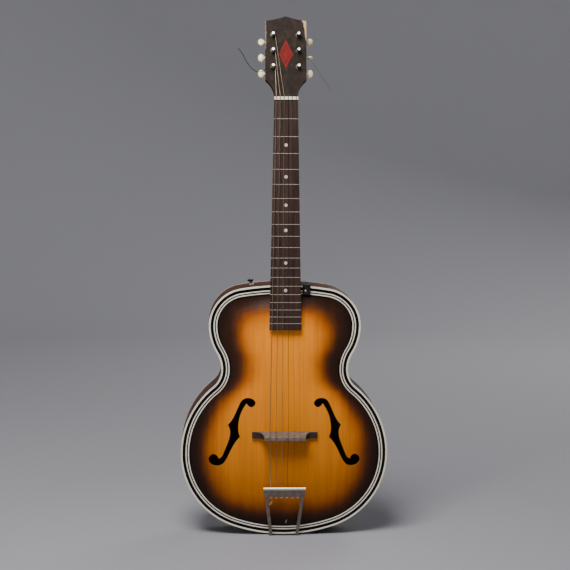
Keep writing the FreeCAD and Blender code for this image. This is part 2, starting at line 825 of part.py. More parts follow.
half_bar = size("bar_width") / 2
bar_end = -size("bar_start") - size("bar_length")
gap = size("bar_clearance")
channel = box((-half_bar - gap, bar_end - gap, board_under - size("bar_depth") - gap),
              (half_bar + gap, -size("bar_start") + gap, 0))
cutters = [moved(channel, neck_frame)]
bush_reach = size("bushing_radius") + size("bushing_clearance")
for string in STRING_DIAMETERS:
    behind = post_place(string) - Z_AXIS * 2 * size("head_thickness")
    through = Part.makeCylinder(bush_reach, 4 * size("head_thickness"), behind)
    cutters.append(moved(through, head_frame))
for side in (1, -1):
    cutters.extend(holes(tuner_screw, tuner_screw_places[side]))
node("neck", neck.cut(cutters).removeSplitter())

steel_bar = padded("steel_bar", "XZ_Plane", (
    ("-bar_width / 2", "-board_thickness - bar_depth"),
    ("bar_width / 2", "-board_thickness - bar_depth"),
    ("bar_width / 2", "-board_thickness"),
    ("-bar_width / 2", "-board_thickness"),
), "bar_length")
bar_middle = Vector(0, -size("bar_start") - size("bar_length") / 2, 0)
keep(steel_bar, "neck_steel_bar", neck_frame.multiply(Placement(bar_middle, Rotation())))

# Fingerboard, frets and dots, in the neck's frame: y = 0 at the nut, z = 0 on the board's crown
crown_axis = Vector(0, 0, -size("board_radius"))


def fret_solid(distance, clearance, rise):
    """A fret turned about the axis of the board's crown, as long as the board is wide there."""
    half_tang = size("fret_tang_width") / 2 + clearance
    low = -size("fret_tang_depth") - clearance
    half_crown = size("fret_width") / 2
    turn = math.degrees(math.asin(board_width(distance) / 2 / size("board_radius")))
    place = -distance
    tang = Part.makePolygon([Vector(0, place - half_tang, low), Vector(0, place + half_tang, low),
                             Vector(0, place + half_tang, rise), Vector(0, place - half_tang, rise),
                             Vector(0, place - half_tang, low)])
    faces = [Part.Face(tang)]
    if clearance == 0:
        ends = Vector(0, place - half_crown, 0), Vector(0, place + half_crown, 0)
        dome = Part.Arc(ends[0], Vector(0, place, size("fret_height")), ends[1]).toShape()
        faces.append(Part.Face(Part.Wire([dome, Part.LineSegment(ends[1], ends[0]).toShape()])))
    profile = faces[0] if len(faces) == 1 else faces[0].fuse(faces[1]).removeSplitter()
    profile = profile.Faces[0]
    profile.rotate(crown_axis, Y_AXIS, -turn)
    return profile.revolve(crown_axis, Y_AXIS, 2 * turn)


FRET_SLOT_CLEARANCE = 0.02
half_nut_end, half_board_end = board_width(0) / 2, board_width(size("board_length")) / 2
board_plan = [
    Vector(-half_nut_end, 0, board_under),
    Vector(half_nut_end, 0, board_under),
    Vector(half_board_end, -size("board_length"), board_under),
    Vector(-half_board_end, -size("board_length"), board_under),
]
board = Part.Face(Part.makePolygon(board_plan + board_plan[:1]))
board = board.extrude(Z_AXIS * 2 * size("board_thickness"))
crown = Part.makeCylinder(size("board_radius"), 4 * far, crown_axis - Y_AXIS * 2 * far, Y_AXIS)
board = board.common(crown)
CUT_SPARE = 1
slots = [fret_solid(fret_place(fret), FRET_SLOT_CLEARANCE, CUT_SPARE) for fret in range(1, FRET_COUNT + 1)]
dots = []
for fret in DOT_FRETS:
    middle = -(fret_place(fret) + fret_place(fret - 1)) / 2
    spot = Vector(0, middle, -size("dot_depth"))
    dots.append(Part.makeCylinder(size("dot_radius"), size("dot_depth"), spot))
    slots.append(Part.makeCylinder(size("dot_radius"), size("dot_depth") + CUT_SPARE, spot))
node("fingerboard", board.cut(slots), neck_frame)
frets = [fret_solid(fret_place(fret), 0, 0) for fret in range(1, FRET_COUNT + 1)]
node("frets", Part.makeCompound(frets), neck_frame)
node("position_dots", Part.makeCompound(dots), neck_frame)


# Strings: ball end behind the tailpiece bar, over the bridge and the nut, wound on the post
def from_middle(string, spacing):
    return (3.5 - string) * size(spacing)


def crown_drop(across):
    return across ** 2 / (2 * size("board_radius"))


def nut_point(string):
    across = from_middle(string, "string_nut_spacing")
    rise = size("fret_height") + size("string_first_fret_gap") + STRING_DIAMETERS[string] / 2
    return Vector(across, 0, rise - crown_drop(across))


def bridge_point(string):
    across = from_middle(string, "string_bridge_spacing")
    rise = nut_point(string).z + size("string_bridge_rise")
    return Vector(across, -saddle_distance, rise)


knuckle_bore = size("hinge_pin_radius") + size("hinge_clearance")
string_plane = knuckle_bore + size("leg_thickness") - size("string_behind_bar")
ball_place = size("tail_bar_foot") - size("ball_radius") - size("slot_clearance")


def ball_point(string):
    return Vector(from_middle(string, "string_tail_spacing"), ball_place, string_plane)


def unit(vector):
    return vector / vector.Length


def arc_from(start, tangent, end):
    """The arc, or the straight line, that leaves the start along the tangent and reaches the end."""
    chord = unit(end - start)
    if tangent.dot(chord) > 1 - 1e-9:
        return Part.LineSegment(start, end).toShape()
    halfway = unit(tangent + chord)
    middle = start + halfway * ((end - start).Length / 2 / halfway.dot(chord))
    return Part.Arc(start, middle, end).toShape()


def biarc(start, leave, end, arrive):
    chord, lean, spread = end - start, leave + arrive, 2 * (1 - leave.dot(arrive))
    along = chord.dot(lean)
    if spread < 1e-9:
        reach = chord.dot(chord) / (4 * chord.dot(arrive))
    else:
        reach = (math.sqrt(along ** 2 + spread * chord.dot(chord)) - along) / spread
    middle = (start + end + (leave - arrive) * reach) / 2
    second = arc_from(end, arrive * -1, middle)
    second_middle = second.valueAt((second.FirstParameter + second.LastParameter) / 2)
    if second.Curve.TypeId == "Part::GeomLine":
        return [arc_from(start, leave, middle), Part.LineSegment(middle, end).toShape()]
    return [arc_from(start, leave, middle), Part.Arc(middle, second_middle, end).toShape()]


def bend(before, at, after, radius):
    """The two tangent points of a round bend, and the bend's own arc."""
    backward, forward = unit(before - at), unit(after - at)
    turn = math.pi - backward.getAngle(forward)
    reach = radius * math.tan(turn / 2)
    start, end = at + backward * reach, at + forward * reach
    return start, arc_from(start, backward * -1, end), end


def tube(edges, radius):
    wire = Part.Wire(edges)
    first = edges[0]
    start = first.valueAt(first.FirstParameter)
    along = first.tangentAt(first.FirstParameter)
    ring = Part.Wire(Part.Circle(start, along, radius).toShape())
    solid = wire.makePipeShell([ring], True, False)
    expected = math.pi * radius ** 2 * wire.Length
    return solid, solid.Volume / expected


WINDING_PAST_HOLE = 20


def winding(string, arrive_from):
    """Tangent point of the string on its post, and (point, direction) steps round the post, in head_frame."""
    radius = size("post_radius") + size("winding_gap") + STRING_DIAMETERS[string] / 2
    post = post_place(string)
    hand = 1 if string > 3 else -1
    flat = Vector(post.x - arrive_from.x, post.y - arrive_from.y, 0)
    lean = math.asin(radius / flat.Length)
    heading = math.atan2(flat.y, flat.x) - hand * lean
    reach = math.sqrt(flat.Length ** 2 - radius ** 2)
    first = heading - hand * math.pi / 2
    last_half_turn = 0 if string > 3 or HALF_TURNS_ON_POST[string] % 2 else math.pi
    past_mouth = math.radians(WINDING_PAST_HOLE)
    total = (hand * (last_half_turn - first)) % (2 * math.pi)
    while total < (HALF_TURNS_ON_POST[string] - 1) * math.pi:
        total += 2 * math.pi
    total += past_mouth
    climb = (STRING_DIAMETERS[string] + size("winding_spacing")) / (2 * math.pi)
    steps = math.ceil(total / (math.pi / 2))
    points = []
    for step in range(steps + 1):
        swept = total * step / steps
        angle = first + hand * swept
        height = size("post_hole_height") - climb * (total - swept)
        spot = Vector(post.x + radius * math.cos(angle), post.y + radius * math.sin(angle), height)
        along = unit(Vector(-hand * radius * math.sin(angle), hand * radius * math.cos(angle), climb))
        points.append((spot, along))
    approach = unit(points[0][0] - arrive_from)
    points[0] = (points[0][0], approach)
    return points, climb * 2 * math.pi


def string_solid(string):
    radius = STRING_DIAMETERS[string] / 2
    ball = tail_frame.multVec(ball_point(string))
    saddle = neck_frame.multVec(bridge_point(string))
    slot = neck_frame.multVec(nut_point(string))
    behind_nut = saddle + (slot - saddle) * (1 + size("nut_thickness") / saddle_distance)
    arrive_from = head_frame.inverse().multVec(behind_nut)
    steps, climb = winding(string, arrive_from)
    steps = [(head_frame.multVec(spot), head_frame.Rotation.multVec(along)) for spot, along in steps]
    post_side = steps[0][0]
    over_bridge = bend(ball, saddle, behind_nut, size("string_bend_radius"))
    over_nut = bend(saddle, behind_nut, post_side, size("string_bend_radius"))
    edges = [Part.LineSegment(ball, over_bridge[0]).toShape(), over_bridge[1]]
    edges.append(Part.LineSegment(over_bridge[2], over_nut[0]).toShape())
    edges.append(over_nut[1])
    edges.append(Part.LineSegment(over_nut[2], post_side).toShape())
    for (start, leave), (end, arrive) in zip(steps, steps[1:]):
        edges.extend(biarc(start, leave, end, arrive))
    wire_tube, share = tube(edges, radius)
    print(f"string_{string}: volume over section times length {share:.4f}")
    print(f"string_{string}: least gap between turns {least_winding_gap(edges[5:], 2 * radius):.3f}")
    half_ball = size("ball_length") / 2
    barrel = Part.makeCylinder(size("ball_radius"), 2 * half_ball, ball - X_AXIS * half_ball, X_AXIS)
    return wire_tube.fuse(barrel)


WINDING_SAMPLES = 24


def least_winding_gap(edges, diameter):
    """Least distance between points of the winding that lie half a turn or more apart, less the wire."""
    points = []
    for edge in edges:
        points.extend(edge.discretize(WINDING_SAMPLES)[:-1])
    lengths = [0]
    for before, after in zip(points, points[1:]):
        lengths.append(lengths[-1] + (after - before).Length)
    apart = math.pi * size("post_radius")
    least = lengths[-1]
    for one in range(len(points)):
        for other in range(one + 1, len(points)):
            if lengths[other] - lengths[one] > apart:
                least = min(least, (points[other] - points[one]).Length)
    return least - diameter


def stub_solid(string):
    """The short cut end that stands out of the far mouth of the post's hole."""
    last = 0 if string > 3 or HALF_TURNS_ON_POST[string] % 2 else math.pi
    outward = Vector(-math.cos(last), 0, 0)
    post = post_place(string) + Z_AXIS * size("post_hole_height")
    start = post + outward * (size("post_radius") + size("winding_gap"))
    cut_end = Part.makeCylinder(STRING_DIAMETERS[string] / 2, size("string_stub_length"), start, outward)
    return moved(cut_end, head_frame)


# Loose string ends, in the headstock's frame: points chosen along each wire, from its post outwards
LOOSE_ENDS = {
    "loose_string_end_bass": (6, (
        (-27.7, 59, 9.55), (-32.5, 57.4, 9.3), (-38.5, 52.2, 7), (-45.5, 48, 3.5), (-54, 48.2, 1),
        (-61.5, 51.6, 1), (-67.3, 57, 2), (-72.8, 64, 3), (-78, 71.4, 4.5), (-81.2, 79, 6),
        (-85.3, 86, 7.2), (-91.5, 92.5, 8),
    )),
    "loose_string_end_treble": (2, (
        (21.3, 90.6, 9), (16.5, 91.6, 9.2), (11, 94.6, 10.2), (8, 99.5, 12.4), (11.5, 103.2, 15.2),
        (18.5, 102.6, 17), (26, 97.6, 16.6), (33, 89, 14.4), (40.5, 77.6, 11.4), (53, 61, 9),
        (69.5, 37, 5.6), (85, 13.2, 1.4),
    )),
}
RUN_SHARE = 0.45


def rounded_route(points):
    """Straight runs joined by arcs as large as their runs allow."""
    edges, radii, start = [], [], points[0]
    for before, at, after in zip(points, points[1:], points[2:]):
        backward, forward = unit(before - at), unit(after - at)
        turn = math.pi - backward.getAngle(forward)
        reach = RUN_SHARE * min((before - at).Length, (after - at).Length)
        radii.append(reach / math.tan(turn / 2))
        edges.append(Part.LineSegment(start, at + backward * reach).toShape())
        start = at + forward * reach
        edges.append(arc_from(at + backward * reach, backward * -1, start))
    edges.append(Part.LineSegment(start, points[-1]).toShape())
    return edges, radii


for label, (string, route) in LOOSE_ENDS.items():
    edges, radii = rounded_route([head_frame.multVec(Vector(*point)) for point in route])
    loose_end, share = tube(edges, STRING_DIAMETERS[string] / 2)
    print(f"{label}: length {sum(edge.Length for edge in edges):.1f}, volume share {share:.4f}, radii",
          " ".join(f"{radius:.1f}" for radius in radii))
    node(label, loose_end)

loose_strings = [string for string, route in LOOSE_ENDS.values()]
for string in STRING_DIAMETERS:
    solids = [string_solid(string)]
    if string not in loose_strings:
        solids.append(stub_solid(string))
    node(f"string_{string}", Part.makeCompound(solids) if len(solids) > 1 else solids[0])


# Nut and bridge, notched for the strings
SLOT_REACH = 20


def string_slot(string, place, before, after):
    """Room above a string where it bends over its seat: as wide as the string and open to the front."""
    half = STRING_DIAMETERS[string] / 2 + size("slot_width_clearance")
    deep = STRING_DIAMETERS[string] / 2 + size("slot_depth_clearance")
    out = place.Rotation.multVec(Z_AXIS)
    seat = place.Base
    points = []
    for direction in (before, after):
        points.append(seat + direction * SLOT_REACH - out * deep)
    low = [points[0], seat - out * deep, points[1]]
    high = [points[1] + out * SLOT_REACH, points[0] + out * SLOT_REACH]
    face = Part.Face(Part.makePolygon(low + high + low[:1]))
    face.translate(X_AXIS * -half)
    return face.extrude(X_AXIS * 2 * half)


nut_blank = padded("nut_blank", "XZ_Plane", (
    ("-nut_width / 2", "-board_thickness"),
    ("nut_width / 2", "-board_thickness"),
    ("nut_width / 2", "fret_height"),
    ("nut_width / 4", "fret_height + string_first_fret_gap + nut_height_over_strings"),
    ("-nut_width / 4", "fret_height + string_first_fret_gap + nut_height_over_strings"),
    ("-nut_width / 2", "fret_height"),
), "nut_thickness")
nut_place = neck_frame.multiply(Placement(Vector(0, size("nut_thickness") / 2, 0), Rotation()))
nut_shape = moved(nut_blank.Shape, nut_place)
bridge_half = size("bridge_length") / 2
slots = {"nut": [], "bridge": []}
for string in STRING_DIAMETERS:
    saddle = neck_frame.multVec(bridge_point(string))
    slot = neck_frame.multVec(nut_point(string))
    ball = tail_frame.multVec(ball_point(string))
    up, down = unit(slot - saddle), unit(ball - saddle)
    level = Vector(0, up.y, up.z)
    fall = Vector(0, down.y, down.z)
    slots["bridge"].append(string_slot(string, Placement(saddle, neck_frame.Rotation), level, fall))
    slots["nut"].append(string_slot(string, Placement(slot, neck_frame.Rotation), level, level * -1))
node("nut", nut_shape.cut(slots["nut"]))

seat = neck_frame.multVec(Vector(0, -saddle_distance, bridge_point(3).z))
saddle_front = -seat.y + size("bridge_height_over_strings")
under_front = RIM + size("top_arch_height") + size("bridge_clearance")
wing = RIM + size("top_arch_height") + size("bridge_wing_height")
crown_half = size("bridge_crown_length") / 2
step_half = crown_half + size("bridge_step_length")
step_front = wing + size("bridge_step_rise")
crown_side = saddle_front - crown_drop(crown_half)
HOLLOW_SHARE = 0.42


def bridge_outline(height):
    """The bridge's outline across the strings: low wings, hollow steps and a round crown."""
    def at(across, front):
        return Vector(across, -front, 0)
    edges = []
    for side in (1, -1):
        corners = [at(0, RIM), at(side * bridge_half, RIM), at(side * bridge_half, wing)]
        corners.append(at(side * step_half, step_front))
        for before, after in zip(corners, corners[1:]):
            edges.append(Part.LineSegment(before, after).toShape())
        hollow = at(side * (crown_half + size("bridge_step_hollow")),
                    step_front + HOLLOW_SHARE * (crown_side - wing))
        edges.append(Part.Arc(corners[-1], hollow, at(side * crown_half, crown_side)).toShape())
    crown_ends = at(crown_half, crown_side), at(-crown_half, crown_side)
    edges.append(Part.Arc(crown_ends[0], at(0, saddle_front), crown_ends[1]).toShape())
    wire = Part.Wire(Part.sortEdges(edges)[0])
    wire.translate(Vector(0, 0, height))
    return wire


neck_side, tail_side = size("bridge_neck_side"), size("bridge_tail_side")
half_top = size("bridge_top_half")
blank = Part.Face(bridge_outline(seat.z - tail_side)).extrude(Vector(0, 0, neck_side + tail_side))
taper_low, taper_high = -under_front - size("bridge_taper_start"), -saddle_front - CUT_SPARE
for foot, top, beyond in ((neck_side, half_top, 2 * neck_side), (-tail_side, -half_top, -2 * neck_side)):
    lean = [Vector(-far, taper_low, seat.z + foot), Vector(-far, taper_high, seat.z + top),
            Vector(-far, taper_high, seat.z + beyond), Vector(-far, taper_low, seat.z + beyond)]
    blank = blank.cut(Part.Face(Part.makePolygon(lean + lean[:1])).extrude(X_AXIS * 2 * far))
half_gap = size("bridge_foot_gap") / 2
arch_front = -under_front - size("bridge_foot_rise")
arch_way = box((-half_gap, arch_front, seat.z - far), (half_gap, 0, seat.z + far))
bridge = blank.cut([under_top(size("bridge_clearance")), arch_way] + slots["bridge"])
node("bridge", bridge)

# Tailpiece, in its own frame: x across, y up the legs from the hinge pin, z out to the front
knuckle_radius = knuckle_bore + size("leg_thickness")
legs = []
leg_lean = math.degrees(math.atan((size("leg_top_offset") - size("leg_foot_offset")) / size("leg_length")))
pin_bore = Part.makeCylinder(knuckle_bore, 2 * far, Vector(-far, 0, 0), X_AXIS)
half_leg = size("leg_width") / 2
neck_height = size("leg_neck_height")
for side in (1, -1):
    # the knuckle takes the outer half of the leg's width, and the bracket's lug fills the inner half
    start, end = sorted((side * size("lug_gap"), side * half_leg))
    leg_foot = X_AXIS * side * size("leg_foot_offset")
    strip = box((-half_leg, neck_height, knuckle_bore), (half_leg, size("leg_length"), knuckle_radius))
    strip.Placement = Placement(leg_foot, Rotation(Z_AXIS, -side * leg_lean))
    leg_neck = box((start, 0, knuckle_bore), (end, 2 * neck_height, knuckle_radius))
    leg_neck.translate(leg_foot)
    knuckle = Part.makeCylinder(knuckle_radius, end - start, leg_foot + X_AXIS * start, X_AXIS)
    legs.append(strip.fuse([leg_neck, knuckle]).cut(pin_bore).removeSplitter())
node("tailpiece_legs", Part.makeCompound(legs), tail_frame)

half_bar_length = size("tail_bar_length") / 2
plate_front = knuckle_radius + size("tail_bar_thickness")
bar_top = size("tail_bar_foot") + size("tail_bar_height")
half_bar_foot = half_bar_length - size("tail_bar_taper")
bar_corners = [
    Vector(-half_bar_foot, size("tail_bar_foot"), knuckle_radius),
    Vector(half_bar_foot, size("tail_bar_foot"), knuckle_radius),
    Vector(half_bar_length, bar_top, knuckle_radius),
    Vector(-half_bar_length, bar_top, knuckle_radius),
]
bar_face = Part.Face(Part.makePolygon(bar_corners + bar_corners[:1]))
bar_plate = bar_face.extrude(Z_AXIS * size("tail_bar_thickness"))
lip_axis = Vector(-half_bar_length, bar_top, plate_front + size("tail_lip_out"))
lip = Part.makeCylinder(size("tail_lip_radius"), 2 * half_bar_length, lip_axis, X_AXIS)
half_flange = size("tail_flange_length") / 2
flange_back = plate_front - size("tail_flange_depth")
flange_top = size("tail_bar_foot") + size("tail_bar_thickness")
flange = box((-half_flange, size("tail_bar_foot"), flange_back), (half_flange, flange_top, plate_front))
string_slots = []
for string, diameter in STRING_DIAMETERS.items():
    half = diameter / 2 + size("winding_gap")
    across = from_middle(string, "string_tail_spacing")
    string_slots.append(box((across - half, size("tail_bar_foot") - CUT_SPARE, flange_back - CUT_SPARE),
                            (across + half, flange_top + CUT_SPARE, string_plane + half)))
string_bar = bar_plate.fuse([lip, flange]).cut(string_slots).removeSplitter()
node("tailpiece_string_bar", string_bar, tail_frame)

hinge_pin = turned("hinge_pin", (
    (0, "-hinge_pin_length / 2"),
    ("hinge_pin_radius", "-hinge_pin_length / 2"),
    ("hinge_pin_radius", "hinge_pin_length / 2"),
    (0, "hinge_pin_length / 2"),
))
pins = []
lugs = []
for side in (1, -1):
    foot = hinge_point + X_AXIS * side * size("leg_foot_offset")
    pins.append(moved(hinge_pin.Shape, facing(foot, X_AXIS)))
    lugs.append(Part.makeCylinder(knuckle_radius, half_leg, foot, X_AXIS * -side))
node("tailpiece_hinge_pins", Part.makeCompound(pins))

half_cross = size("leg_foot_offset")
half_bracket = size("bracket_width") / 2
cross_bar = box((-half_cross, hinge_point.y, 0), (half_cross, -RIM, BASE))
tongue_plate = box((-half_bracket, -RIM, 0), (half_bracket, size("bracket_back"), BASE))
bracket_bore = Part.makeCylinder(size("hinge_pin_radius"), 2 * far, hinge_point - X_AXIS * far, X_AXIS)
bracket = cross_bar.fuse(lugs + [tongue_plate])
bracket = bracket.cut([bracket_bore] + holes(bracket_screw, bracket_screw_places))
node("tailpiece_bracket", bracket.removeSplitter())

# Finger-rest bracket over the treble shoulder's edge, and the strap button on the bass shoulder
half_rest = size("rest_width") / 2
rest_left, rest_right = size("rest_offset") - half_rest, size("rest_offset") + half_rest
rest_top = TOP_EDGE + size("rest_lip_rise")
rest_block = box((rest_left, rest_front, TOP_EDGE - size("rest_height")),
                 (rest_right, -RIM + size("rest_lip_depth"), rest_top))
front_edges = [edge for edge in rest_block.Edges if edge.CenterOfMass.y < -RIM]
round_edges = [edge for edge in front_edges if edge.BoundBox.YLength < 1e-6]
rest_block = rest_block.makeFillet(size("rest_corner_radius"), round_edges)
rest_gap = size("rest_clearance")
rest_room = under_top(rest_gap).common(outline_prism(-rest_gap, -3 * RIM, 3 * RIM))
node("finger_rest_bracket", rest_block.cut([rest_room] + holes(rest_screw, [rest_screw_place])))

strap_button = turned("strap_button_body", (
    ("strap_screw_radius + screw_clearance", 0),
    ("strap_base_radius", 0),
    ("strap_base_radius", "strap_height * 0.12"),
    ("strap_waist_radius", "strap_height * 0.3"),
    ("strap_waist_radius", "strap_height * 0.6"),
    ("strap_head_radius", "strap_height * 0.8"),
    ("strap_head_radius", "strap_height * 0.92"),
    ("strap_head_radius * 0.8", "strap_height"),
    ("strap_screw_radius + screw_clearance", "strap_height"),
))
keep(strap_button, "strap_button", facing(strap_seat, strap_outward))

# Tuners, in the headstock's frame: z = 0 on its face, the plates on its back
worm_z = plate_back - size("worm_depth")
worm_pitch = 2 * math.pi * size("gear_pitch_radius") / size("gear_teeth")
half_plate = size("tuner_plate_width") / 2
half_ear_gap = size("ear_gap") / 2
for side, label in ((-1, "tuner_plate_bass"), (1, "tuner_plate_treble")):
    centre = side * size("post_offset")
    low = size("post_first") - size("tuner_plate_tail")
    high = size("post_first") + 2 * size("post_pitch") + size("tuner_plate_lead")
    strip = box((centre - half_plate, low, plate_back), (centre + half_plate, high, -size("head_thickness")))
    ears, bores = [], []
    for row in range(3):
        height = size("post_first") + row * size("post_pitch")
        axis_y = height - size("gear_worm_distance")
        for end in (1, -1):
            near = centre + end * half_ear_gap
            outer = near + end * size("ear_thickness")
            ears.append(box((min(near, outer), axis_y - size("ear_width") / 2, worm_z - size("ear_reach")),
                            (max(near, outer), axis_y + size("ear_width") / 2, plate_back)))
        bores.append(Part.makeCylinder(size("shaft_radius") + size("shaft_clearance"), 4 * half_plate,
                                       Vector(centre - 2 * half_plate, axis_y, worm_z), X_AXIS))
        bores.append(Part.makeCylinder(size("post_radius") + size("post_clearance"), 4 * size("worm_depth"),
                                       Vector(centre, height, plate_back - size("worm_depth")), Z_AXIS))
    plate = moved(strip.fuse(ears).cut(bores), head_frame)
    node(label, plate.cut(holes(tuner_screw, tuner_screw_places[side])).removeSplitter())

bushing = turned("bushing", (
    ("post_radius + post_clearance", "-bushing_length"),
    ("bushing_radius", "-bushing_length"),
    ("bushing_radius", 0),
    ("bushing_flange_radius", 0),
    ("bushing_flange_radius", "bushing_flange_thickness * 0.6"),
    ("bushing_flange_radius - bushing_flange_thickness", "bushing_flange_thickness"),
    ("post_radius + post_clearance", "bushing_flange_thickness"),
))
bushings = [moved(bushing.Shape, head_frame.multiply(Placement(post_place(string), Rotation())))
            for string in STRING_DIAMETERS]
node("tuner_bushings", Part.makeCompound(bushings))

gear_top = "-head_thickness - tuner_plate_thickness - worm_depth + gear_thickness / 2"
gear_bottom = "-head_thickness - tuner_plate_thickness - worm_depth - gear_thickness / 2"
post = turned("post", (
    (0, gear_bottom),
    ("post_tip_radius", gear_bottom),
    ("post_tip_radius", gear_top),
    ("post_radius", gear_top),
    ("post_radius", "post_height - post_radius * 0.2"),
    ("post_radius * 0.8", "post_height"),
    (0, "post_height"),
))
hole_reach = 2 * size("post_radius")
string_hole = Part.makeCylinder(size("post_hole_radius"), 2 * hole_reach,
                                Vector(-hole_reach, 0, size("post_hole_height")), X_AXIS)
screw_depth = size("gear_screw_length")
gear_low = value_of(gear_bottom)
screw_reach = size("gear_screw_radius") + size("gear_screw_clearance")
screw_bore = Part.makeCylinder(screw_reach, screw_depth + size("gear_screw_spare"), Vector(0, 0, gear_low))
post_solid = post.Shape.cut([string_hole, screw_bore])
gear_screw = turned("gear_screw", (
    (0, f"{gear_bottom} - gear_screw_head_height"),
    ("gear_screw_head_radius * 0.7", f"{gear_bottom} - gear_screw_head_height"),
    ("gear_screw_head_radius", f"{gear_bottom} - gear_screw_head_height * 0.6"),
    ("gear_screw_head_radius", gear_bottom),
    ("gear_screw_radius", gear_bottom),
    ("gear_screw_radius", f"{gear_bottom} + gear_screw_length"),
    (0, f"{gear_bottom} + gear_screw_length"),
))
slot_reach, half_slot = 2 * size("gear_screw_head_radius"), size("driver_slot_width") / 2
head_height = size("gear_screw_head_height")
driver_slot = box((-slot_reach, -half_slot, gear_low - 2 * head_height),
                  (slot_reach, half_slot, gear_low - head_height / 2))
post_group = Part.makeCompound([post_solid, gear_screw.Shape.cut(driver_slot)])


def gear_solid():
    """A spur gear with a gap facing the worm, on the nut's side."""
    teeth = int(size("gear_teeth"))
    root, tip = size("gear_root_radius"), size("gear_tip_radius")
    foot = root - size("gear_tooth_sink")
    half_foot, half_tip = size("gear_tooth_root_width") / 2, size("gear_tooth_tip_width") / 2
    outline = [Vector(foot, -half_foot, gear_low), Vector(tip, -half_tip, gear_low),
               Vector(tip, half_tip, gear_low), Vector(foot, half_foot, gear_low)]
    tooth = Part.Face(Part.makePolygon(outline + outline[:1])).extrude(Z_AXIS * size("gear_thickness"))
    copies = []
    for index in range(teeth):
        copy = tooth.copy()
        copy.rotate(Vector(), Z_AXIS, -90 + 360 * (index + 0.5) / teeth)
        copies.append(copy)
    disc = Part.makeCylinder(root, size("gear_thickness"), Vector(0, 0, gear_low))
    bore_radius = size("post_tip_radius") + size("gear_screw_clearance")
    bore = Part.makeCylinder(bore_radius, 4 * size("gear_thickness"),
                             Vector(0, 0, gear_low - size("gear_thickness")))
    return disc.fuse(copies).cut(bore).removeSplitter()


def worm_solid():
    """The worm on its shaft along +X from the post's centre, with a thread facing the gear at its middle."""
    length = size("worm_turns") * worm_pitch
    half_root, half_tip = size("worm_thread_root_width") / 2, size("worm_thread_tip_width") / 2
    core, tip = size("worm_core_radius"), size("worm_radius")
    foot = core - size("thread_sink")
    helix = Part.makeHelix(worm_pitch, length, core)
    outline = [Vector(foot, 0, -half_root), Vector(tip, 0, -half_tip), Vector(tip, 0, half_tip),
               Vector(foot, 0, half_root)]
    thread = Part.Wire(helix.Edges).makePipeShell([Part.makePolygon(outline + outline[:1])], True, True)
    thread.translate(Vector(0, 0, -length / 2))
    turns_to_middle = size("worm_turns") / 2
    thread.rotate(Vector(), Z_AXIS, 90 - 360 * turns_to_middle)
    thread.rotate(Vector(), Y_AXIS, 90)
    ends = half_ear_gap + size("ear_thickness")
    play = size("worm_end_play")
    body = Part.makeCylinder(core, 2 * (half_ear_gap - play), Vector(play - half_ear_gap, 0, 0), X_AXIS)
    stem_end = size("button_offset") - size("post_offset") - size("button_length") / 2
    shaft_end = stem_end + size("button_bore_depth")
    near_end = -ends - size("shaft_end_length")
    reach = Part.makeCylinder(size("shaft_radius"), shaft_end - near_end, Vector(near_end, 0, 0), X_AXIS)
    return body.fuse([thread, reach]).removeSplitter()


def button_solid():
    """An oval button with a short stem, along +X from the stem's end, with a bore for the shaft."""
    length = size("button_length")
    half_height, half_depth = size("button_height") / 2, size("button_thickness") / 2
    unit_ball = Part.makeSphere(1)
    stretch = FreeCAD.Matrix()
    stretch.scale(length / 2, half_height, half_depth)
    oval = unit_ball.transformGeometry(stretch)
    oval.translate(X_AXIS * (length / 2))
    waist = Part.makeCone(size("button_stem_end_radius"), size("button_stem_radius"),
                          size("button_stem_length"), X_AXIS * -size("button_stem_lead"), X_AXIS)
    bore_start = -2 * size("button_stem_lead")
    bore = Part.makeCylinder(size("shaft_radius") + size("button_bore_clearance"),
                             size("button_bore_depth") - bore_start, X_AXIS * bore_start, X_AXIS)
    return oval.fuse(waist).cut(bore).removeSplitter()


worm, gear, button = worm_solid(), gear_solid(), button_solid()
for string in STRING_DIAMETERS:
    post = post_place(string)
    side = 1 if string <= 3 else -1
    at_post = head_frame.multiply(Placement(post, Rotation()))
    node(f"tuner_post_{string}", post_group.copy(), at_post)
    node(f"tuner_gear_{string}", gear.copy(), at_post)
    worm_place = post + Vector(0, -size("gear_worm_distance"), worm_z)
    half_turn = Rotation(Y_AXIS, 0 if side > 0 else 180)
    node(f"tuner_worm_{string}", worm.copy(), head_frame.multiply(Placement(worm_place, half_turn)))
    stem = Vector(side * (size("button_offset") - size("button_length") / 2), worm_place.y, worm_z)
    turn = half_turn.multiply(Rotation(X_AXIS, BUTTON_TURNS[string]))
    node(f"tuner_button_{string}", button.copy(), head_frame.multiply(Placement(stem, turn)))

# Every object has to be sound before anything is written
doc.recompute()
for item in doc.Objects:
    if "Invalid" in item.State or "Error" in item.State:
        raise RuntimeError(f"{item.Label} failed: {item.State}")
for item in nodes:
    if item.Shape.isNull() or not item.Shape.isValid():
        raise RuntimeError(f"{item.Label} has no valid shape")
os.makedirs("parts", exist_ok=True)
for item in nodes:
    item.Shape.exportStep(f"parts/{item.Label}.step")
print(len(nodes), "nodes;", f"worm pitch {worm_pitch:.3f}; joint {joint_distance:.2f}")
print("saddle", seat, "head origin", head_origin, "hinge", hinge_point)
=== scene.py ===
import bpy
import math
from mathutils import Euler, Matrix, Vector


